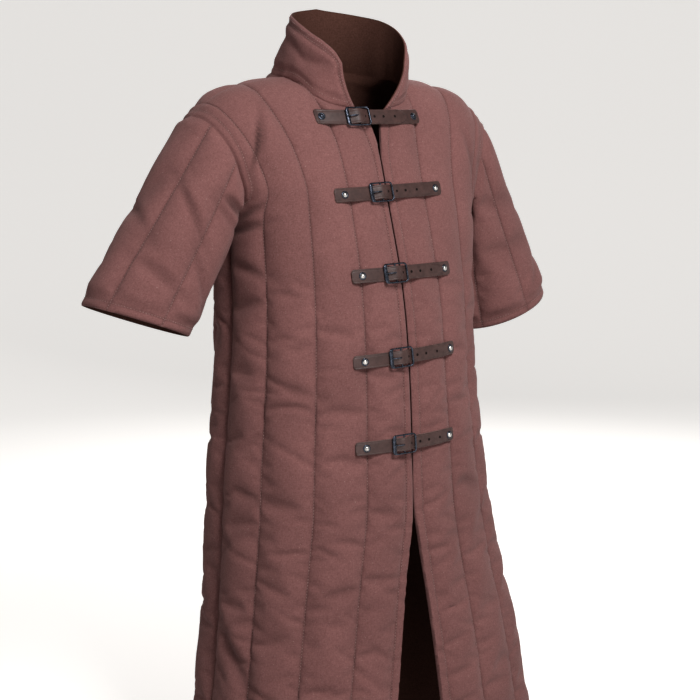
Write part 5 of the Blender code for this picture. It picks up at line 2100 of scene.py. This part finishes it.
# ---- straps and buckles
@dataclass(frozen=True)
class Fittings:
    """The sizes that all five closures share, and how high each part rides."""

    lift: float = 0.0114
    width: float = 0.0205
    strap: float = 0.0020
    tab: float = 0.0014
    wire: float = 0.0015
    prong: float = 0.0010
    rounding: float = 0.004
    tip: float = 0.016
    tip_half: float = 0.0015
    turn_width: float = 0.72
    frame_half: tuple[float, float] = (0.019, 0.01425)
    frame_corner: float = 0.005
    bar_height: float = 0.0032
    left_height: float = 0.0043
    right_height: float = 0.0062
    over_tab: float = 0.0017
    tab_rivet_inset: float = 0.0115
    gap: float = 0.0003
    spacing: float = 0.0014


FITTINGS = Fittings()


@dataclass(frozen=True)
class RoutePoint:
    """A point on a strap's way: how far past one of its closure's places, and how high."""

    past: str
    along: float
    height: float


def route(*rows: tuple[str, float, float]) -> tuple[RoutePoint, ...]:
    """A table of a strap's way."""
    return tuple(RoutePoint(*row) for row in rows)


STRAP_ROUTE = route(
    ("strap_end", 0.0, 0.0), ("strap_end", 0.030, 0.0), ("buckle", -0.023, 0.0), ("buckle", -0.015, 0.0003),
    ("buckle", -0.0055, 0.0055), ("buckle", -0.0020, 0.0067), ("buckle", 0.0030, 0.0067),
    ("buckle", 0.015, 0.0020), ("buckle", 0.023, 0.0017), ("tip", -0.028, 0.0017), ("tip", 0.0, 0.0017),
)
TAB_ROUTE = route(
    ("tab_end", 0.0, 0.0), ("tab_end", -0.030, 0.0), ("buckle", 0.022, 0.0), ("buckle", 0.010, 0.0),
)
PRONG_ROUTE = route(
    ("buckle", -0.0040, 0.0100), ("buckle", -0.0085, 0.0096), ("buckle", -0.0160, 0.0075),
    ("buckle", -0.0190, 0.0071), ("buckle", -0.0215, 0.0071),
)
# Share of a strap's half width, and of its thickness.
HALF_STRAP_PROFILE = points(
    (-1.0, 0.66), (-0.985, 0.86), (-0.95, 0.97), (-0.88, 1.0), (-0.80, 0.99), (-0.755, 0.86), (-0.71, 0.99),
    (-0.55, 1.01), (-0.25, 1.03), (0.0, 1.035),
)
# How far past the buckle's bar each hole is.
HOLES = (-0.0125, 0.0105, 0.0290, 0.0460, 0.0680)
# Radius, and height above what the rivet sits on.
RIVET_DOME = points(
    (0.0, 0.0030), (0.0014, 0.0028), (0.0026, 0.0023), (0.0036, 0.0014), (0.0040, 0.0008), (0.0041, 0.0004),
    (0.0, 0.0003),
)
# The same, of the ring.
RIVET_RING = points(
    (0.0038, 0.0001), (0.0038, 0.0007), (0.0046, 0.0010), (0.0055, 0.0008), (0.0060, 0.0004),
    (0.0061, 0.0001), (0.0038, 0.0001),
)


@dataclass(frozen=True)
class FrontPlace:
    """Turns places on a closure into places in the world."""

    torso: TorsoForm
    size: ClosureSize
    step: float = 0.004

    def depth(self, side: Side, x: Array, z: Array) -> Array:
        """The front's depth on one side."""
        return self.torso.y_at(side, Facing.FRONT, x, z)

    def at(self, across: Array | float, up: Array | float, height: Array | float) -> Array:
        """A point over the front.

        Args:
            across: how far from the middle.
            up: how far above the closure's line.
            height: how far out from where a strap lies.

        Returns:
            The points, in metres.
        """
        x, up, height = np.broadcast_arrays(*(np.asarray(v, float) for v in (across, up, height)))
        z = self.size.z + up + self.size.rise * x
        left, right = (self.depth(side, x, z) for side in (Side.LEFT, Side.RIGHT))
        y = np.where(x < 0, right, left)
        step = self.step
        y_across = self.depth(Side.LEFT, x + step, z) - self.depth(Side.LEFT, x - step, z)
        y_up = self.depth(Side.LEFT, x, z + step) - self.depth(Side.LEFT, x, z - step)
        slopes = (y_across / (2 * step), -np.ones_like(x), y_up / (2 * step))
        normal = unit(np.stack(slopes, axis=-1))
        return np.stack([x, y, z], axis=-1) + normal * (FITTINGS.lift + height)[..., None]

    def frame_at(self, across: float, height: float) -> Matrix:
        """A matrix with x along the strap, y up the front and z out of it.

        Args:
            across: how far from the middle.
            height: how far out from where a strap lies.

        Returns:
            The matrix.
        """
        here = self.at(across, 0, height)
        x_axis = unit(self.at(across + 0.01, 0, height) - here)
        up = unit(self.at(across, 0.01, height) - here)
        out = unit(np.cross(x_axis, up))
        matrix = np.identity(4)
        matrix[:3] = np.stack([x_axis, np.cross(out, x_axis), out, here], axis=1)
        return Matrix(matrix.tolist())


def dressed(thing: Object, node: str | None) -> Object:
    """Ride the garment, and stand in for a node if one is named.

    Args:
        thing: the piece.
        node: the node, or None.

    Returns:
        The same piece.
    """
    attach(thing, "root")
    if node is not None:
        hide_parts(node)
    return thing


@dataclass(frozen=True)
class Closure:
    """A strap with its tab, buckle, prong and two rivets, whose domes have a finish of their own."""

    number: int
    size: ClosureSize
    place: FrontPlace
    dome: MetalFinish

    def route(self, points: Sequence[RoutePoint]) -> Array:
        """A table's points as (across, height) pairs."""
        return np.array([(getattr(self.size, point.past) + point.along, point.height) for point in points])

    @staticmethod
    def resampled(path: Array, spacing: float) -> Array:
        """A path with points at an even, fine spacing and soft turns.

        Args:
            path: pairs of (across, height).
            spacing: how far apart the new points are.

        Returns:
            The path's points.
        """
        run = run_lengths(path[:, 0], path[:, 1], np.zeros(len(path)))
        at = np.linspace(0, run[-1], int(run[-1] / spacing) + 1)
        straight = read_line(at, run, path)
        for _ in range(4):
            straight[1:-1] = (straight[:-2] + 2 * straight[1:-1] + straight[2:]) / 4
        return straight

    def strip(self, name: str, path: Array, half_widths: Array, thickness: float) -> Object:
        """A leather strip along a path, with a pressed crease inside each edge.

        Args:
            name: the piece's name.
            path: its middle, as pairs of (across, height).
            half_widths: its half width at each point.
            thickness: how thick it is, negative where its path runs towards -X.

        Returns:
            The object.
        """
        run = np.gradient(path, axis=0)
        sideways = unit(np.stack([-run[:, 1], run[:, 0]], axis=-1))
        half = np.array([(point.at, point.value) for point in HALF_STRAP_PROFILE])
        profile = np.concatenate([half, half[-2::-1] * (-1, 1)])
        up = half_widths[:, None] * profile[:, 0]
        raised = thickness * profile[:, 1]
        under = self.place.at(path[:, :1], up, path[:, 1:])
        offset = path[:, None] + sideways[:, None] * raised[None, :, None]
        over = self.place.at(offset[..., 0], up, offset[..., 1])
        thing = WallMesh(name, over, under, sharp=50.0).build((LEATHER, LEATHER, CUT_EDGE))
        return dressed(thing, name)

    def half_widths(self, path: Array, tip: float) -> Array:
        """Half widths along a strip: rounded at its riveted end, pointed at a tip.

        Args:
            path: the strip's points.
            tip: how long its point is, or 0.

        Returns:
            A half width for each point.
        """
        half, rounding = FITTINGS.width / 2, FITTINGS.rounding
        run = run_lengths(path[:, 0], path[:, 1], np.zeros(len(path)))
        start = np.clip(rounding - run, 0, None)
        widths = half - rounding + np.sqrt(rounding**2 - start**2)
        if tip:
            share = np.clip((run[-1] - run) / tip, 0, 1)
            widths = np.minimum(widths, FITTINGS.tip_half + (half - FITTINGS.tip_half) * np.sqrt(share))
        return widths

    def strap(self) -> Object:
        """The strap, from its rivet over the middle bar to its tip."""
        path = self.resampled(self.route(STRAP_ROUTE), FITTINGS.spacing)
        return self.strip(f"strap_{self.number}", path, self.half_widths(path, FITTINGS.tip), FITTINGS.strap)

    def tab(self) -> Object:
        """The tab, from its rivet round the middle bar."""
        radius = FITTINGS.wire + FITTINGS.gap + FITTINGS.tab
        flat = self.resampled(self.route(TAB_ROUTE), FITTINGS.spacing)
        turn = np.linspace(0, math.pi, 13)
        across = self.size.buckle - radius * np.sin(turn)
        bend = np.stack([across, FITTINGS.bar_height - radius * np.cos(turn)], axis=-1)
        end = np.array([[self.size.buckle + 0.0015, FITTINGS.bar_height + radius]])
        path = np.concatenate([flat, bend, end])
        narrow = 1 - (1 - FITTINGS.turn_width) * step_up(self.size.buckle + 0.012 - path[:, 0], 0, 0.010)
        return self.strip(f"tab_{self.number}", path, self.half_widths(path, 0) * narrow, -FITTINGS.tab)

    def wire(self, name: str, points: Array, radii: Array, cyclic: bool) -> BMesh:
        """A bent wire of changing radius, in the buckle's own axes.

        Args:
            name: the wire's name.
            points: its middle.
            radii: its radius at each point.
            cyclic: whether its ends meet.

        Returns:
            The wire's mesh.
        """
        curve = bpy.data.curves.new(name, "CURVE")
        curve.dimensions = "3D"
        curve.bevel_depth = 1.0
        curve.bevel_resolution = 4
        curve.use_fill_caps = True
        spline = curve.splines.new("POLY")
        spline.points.add(len(points) - 1)
        for point, place, radius in zip(spline.points, points.tolist(), radii.tolist()):
            point.co = (*place, 1)
            point.radius = radius
        spline.use_cyclic_u = cyclic
        bent = placed(name, curve)
        graph = bpy.context.evaluated_depsgraph_get()
        data = bpy.data.meshes.new_from_object(bent.evaluated_get(graph))
        mesh = bmesh.new()
        mesh.from_mesh(data)
        bmesh.ops.remove_doubles(mesh, verts=mesh.verts, dist=0.00001)
        bpy.data.meshes.remove(data)
        bpy.data.objects.remove(bent)
        bpy.data.curves.remove(curve)
        return mesh

    def buckle(self) -> Object:
        """The frame, its left bar broad and flat, with the middle bar."""
        half_length, half_height = FITTINGS.frame_half
        corner = FITTINGS.frame_corner
        outline = []
        for index, (x_sign, y_sign) in enumerate(((1, 1), (-1, 1), (-1, -1), (1, -1))):
            for turn in math.pi / 2 * (index + np.linspace(0, 1, 7)):
                x = x_sign * (half_length - corner) + corner * math.cos(turn)
                y = y_sign * (half_height - corner) + corner * math.sin(turn)
                outline.append((x, y))
        flat = np.array(outline)
        left = step_up(-flat[:, 0], 0.0145, 0.0185)
        right = step_up(flat[:, 0], 0.0145, 0.0185)
        side = np.where(flat[:, 0] < 0, FITTINGS.left_height, FITTINGS.right_height)
        bar = FITTINGS.bar_height
        height = bar + (side - bar) * np.minimum(1, np.abs(flat[:, 0]) / half_length)
        radii = FITTINGS.wire * (0.84 + 1.40 * left + 0.16 * right)
        points = np.column_stack([flat, height])
        mesh = self.wire("frame", points, radii, True)
        for vert in mesh.verts:
            share = float(step_up(-vert.co.x, 0.0135, 0.0165))
            middle = bar + (FITTINGS.left_height - bar) * min(1.0, abs(vert.co.x) / half_length)
            vert.co.z = middle + (vert.co.z - middle) * (1 - 0.50 * share) if share else vert.co.z
        bar_ends = np.array([(0, -half_height, bar), (0, half_height, bar)])
        crossed = self.wire("bar", bar_ends, np.full(2, FITTINGS.wire * 0.96), False)
        joined = bpy.data.meshes.new("bar")
        crossed.to_mesh(joined)
        crossed.free()
        mesh.from_mesh(joined)
        bpy.data.meshes.remove(joined)
        return self.fitted(f"buckle_{self.number}", mesh)

    def fitted(self, name: str, mesh: BMesh) -> Object:
        """Set a metal piece at the buckle's place and dress it.

        Args:
            name: the piece's name.
            mesh: its mesh, in the buckle's axes.

        Returns:
            The object.
        """
        bmesh.ops.transform(mesh, matrix=self.place.frame_at(self.size.buckle, 0.0), verts=mesh.verts)
        bmesh.ops.recalc_face_normals(mesh, faces=mesh.faces)
        return dressed(finished_object(name, mesh, (GUNMETAL,), 50), name)

    def prong(self) -> Object:
        """The prong, from the strap's hole to its rest on the left bar."""
        path = self.resampled(self.route(PRONG_ROUTE), 0.0010)
        points = np.column_stack([path[:, 0] - self.size.buckle, np.zeros(len(path)), path[:, 1]])
        taper = np.interp(np.linspace(0, 1, len(path)), (0, 0.7, 0.93, 1), (1, 0.95, 0.8, 0.45))
        return self.fitted(f"prong_{self.number}", self.wire("prong", points, FITTINGS.prong * taper, False))

    def rivet(self, name: str, across: float, height: float) -> Object:
        """A domed rivet on a dark ring.

        Args:
            name: the rivet's name.
            across: how far from the middle it is.
            height: how far out it sits.

        Returns:
            The object.
        """
        mesh = bmesh.new()
        for index, profile in enumerate((RIVET_DOME, RIVET_RING)):
            before = len(mesh.verts), len(mesh.faces)
            turned(mesh, ((point.at, point.value) for point in profile), 28)
            mesh.verts.ensure_lookup_table()
            mesh.faces.ensure_lookup_table()
            bmesh.ops.remove_doubles(mesh, verts=mesh.verts[before[0] :], dist=0.00001)
            mesh.faces.ensure_lookup_table()
            for face in mesh.faces[before[1] :]:
                face.material_index = index
        bmesh.ops.transform(mesh, matrix=self.place.frame_at(across, height + FITTINGS.gap), verts=mesh.verts)
        bmesh.ops.recalc_face_normals(mesh, faces=mesh.faces)
        return dressed(finished_object(name, mesh, (self.dome, GUNMETAL), 40), name)

    def holes(self) -> Object:
        """The strap's punched holes, each a sunken pit in a rounded rim, its floor a near-black disc of
        painted shade for the hole.
        """
        mesh = bmesh.new()
        path = self.resampled(self.route(STRAP_ROUTE), FITTINGS.spacing)
        for past in HOLES:
            across = self.size.buckle + past
            if across > self.size.tip - 0.010:
                continue
            height = float(np.interp(across, path[:, 0], path[:, 1])) + FITTINGS.strap * 1.035
            before = len(mesh.faces), len(mesh.verts)
            bmesh.ops.create_cone(
                mesh, cap_ends=True, segments=16, radius1=0.0027, radius2=0.0025, depth=0.0006
            )
            mesh.faces.ensure_lookup_table()
            top = max(mesh.faces[before[0] :], key=lambda face: face.calc_center_median().z)
            bmesh.ops.inset_region(mesh, faces=[top], thickness=0.00025, depth=0.00004)
            bmesh.ops.inset_region(mesh, faces=[top], thickness=0.00008, depth=-0.00012)
            # The pit's floor takes the painted hole shade.
            top.material_index = 1
            mesh.verts.ensure_lookup_table()
            matrix = self.place.frame_at(across, height - 0.00006)
            bmesh.ops.transform(mesh, matrix=matrix, verts=mesh.verts[before[1] :])
        bmesh.ops.recalc_face_normals(mesh, faces=mesh.faces)
        thing = finished_object(f"holes_{self.number}", mesh, (LEATHER, PAINTED_HOLE_SHADE), 40)
        return dressed(thing, None)

    def build(self) -> None:
        """Build every part of the closure."""
        size = self.size
        tab_rivet = size.tab_end - FITTINGS.tab_rivet_inset
        covered = size.tip > tab_rivet - 0.0050
        level = FITTINGS.over_tab + FITTINGS.strap if covered else FITTINGS.tab
        for thing in (
            self.strap(),
            self.tab(),
            self.buckle(),
            self.prong(),
            self.rivet(f"rivet_strap_{self.number}", size.strap_end + size.rivet_inset, FITTINGS.strap),
            self.rivet(f"rivet_tab_{self.number}", tab_rivet, level),
            self.holes(),
        ):
            report(thing)


# ---- studio
@dataclass(frozen=True)
class Lamp:
    """A square soft light: its turn from the camera, height, distance, size and power."""

    name: str
    turn: float
    height: float
    distance: float
    size: float
    power: float


LAMPS = (
    Lamp("key", 28.0, 1.50, 2.2, 0.9, 77.0),
    Lamp("low", 22.0, -0.55, 2.4, 1.2, 12.0),
    Lamp("fill", -60.0, 0.30, 2.6, 1.8, 4.0),
    Lamp("rim", 170.0, 0.90, 2.5, 1.6, 55.0),
)


@dataclass(frozen=True)
class Studio:
    """A pale bowl of a backdrop, soft lights, and the camera."""

    floor_z: float = -1.145
    floor_radius: float = 3.4
    curve_radius: float = 1.0
    wall_height: float = 2.3
    distance: float = 2.7
    azimuth: float = -36.0
    pitch: float = 8.26
    height: float = -0.045
    aside: tuple[float, float] = (0.0078, -0.0056)
    lens: float = 86.8
    world_strength: float = 0.16
    backdrop_glow: float = 0.50

    def build(self) -> None:
        """Make the backdrop, lights and camera."""
        self.backdrop()
        self.lights()
        self.camera()

    def backdrop(self) -> None:
        """A round floor that curves up into a low wall on every side."""
        mesh = bmesh.new()
        turn = np.linspace(0, math.pi / 2, 13)
        out = self.floor_radius + self.curve_radius * np.sin(turn)
        up = self.curve_radius * (1 - np.cos(turn))
        profile = [(0.0, 0.0), *zip(out.tolist(), up.tolist()), (float(out[-1]), self.wall_height)]
        turned(mesh, ((x, self.floor_z + z) for x, z in profile), 72)
        bmesh.ops.remove_doubles(mesh, verts=mesh.verts, dist=0.0001)
        bmesh.ops.recalc_face_normals(mesh, faces=mesh.faces)
        middle = min(mesh.faces, key=lambda face: face.calc_center_median().length)
        if middle.normal.z < 0:
            bmesh.ops.reverse_faces(mesh, faces=mesh.faces)
        material = bpy.data.materials.new("backdrop")
        material.use_nodes = True
        Wiring(material.node_tree, material.node_tree.nodes["Principled BSDF"]).finish(
            Base_Color=(0.83, 0.80, 0.77),
            Roughness=0.9,
            Emission_Color=(1.0, 0.985, 0.965),
            Emission_Strength=self.backdrop_glow,
        )
        data = bpy.data.meshes.new("backdrop")
        mesh.to_mesh(data)
        mesh.free()
        data.materials.append(material)
        data.shade_smooth()
        thing = placed("backdrop", data)
        thing.visible_diffuse = False

    def lights(self) -> None:
        """A high key from the front, a soft fill, a light behind and a pale world."""
        a = math.radians(self.azimuth)
        for lamp in LAMPS:
            light = bpy.data.lights.new(lamp.name, "AREA")
            light.size = lamp.size
            light.energy = lamp.power
            thing = placed(lamp.name, light)
            b = a + math.radians(lamp.turn)
            thing.location = (math.sin(b) * lamp.distance, -math.cos(b) * lamp.distance, lamp.height)
            aim = Vector((0, 0, -0.45)) - thing.location
            thing.rotation_euler = aim.to_track_quat("-Z", "Y").to_euler()
        world = bpy.data.worlds.new("studio")
        world.use_nodes = True
        background = world.node_tree.nodes["Background"]
        background.inputs[0].default_value = (1.0, 0.985, 0.965, 1)
        background.inputs[1].default_value = self.world_strength
        bpy.context.scene.world = world

    def camera(self) -> None:
        """The camera, level and a little above."""
        a = math.radians(self.azimuth)
        data = bpy.data.cameras.new("camera")
        data.sensor_width = 36.0
        data.lens = self.lens
        camera = placed("camera", data)
        x, y = self.aside
        camera.location = (math.sin(a) * self.distance + x, -math.cos(a) * self.distance + y, self.height)
        aim = Vector((x, y, self.height - self.distance * math.tan(math.radians(self.pitch))))
        camera.rotation_euler = (aim - camera.location).to_track_quat("-Z", "Y").to_euler()
        bpy.context.scene.camera = camera
        bpy.context.scene.view_settings.view_transform = "Standard"


def main() -> None:
    """Build the garment, its closures and its studio."""
    logging.basicConfig(level=logging.INFO, format="%(message)s")
    torso = TorsoForm()
    Gambeson(torso).build()
    for number, size in enumerate(CLOSURES, start=1):
        Closure(number, size, FrontPlace(torso, size), GUNMETAL if number == 1 else STEEL).build()
    Studio().build()


if __name__ == "__main__":
    main()
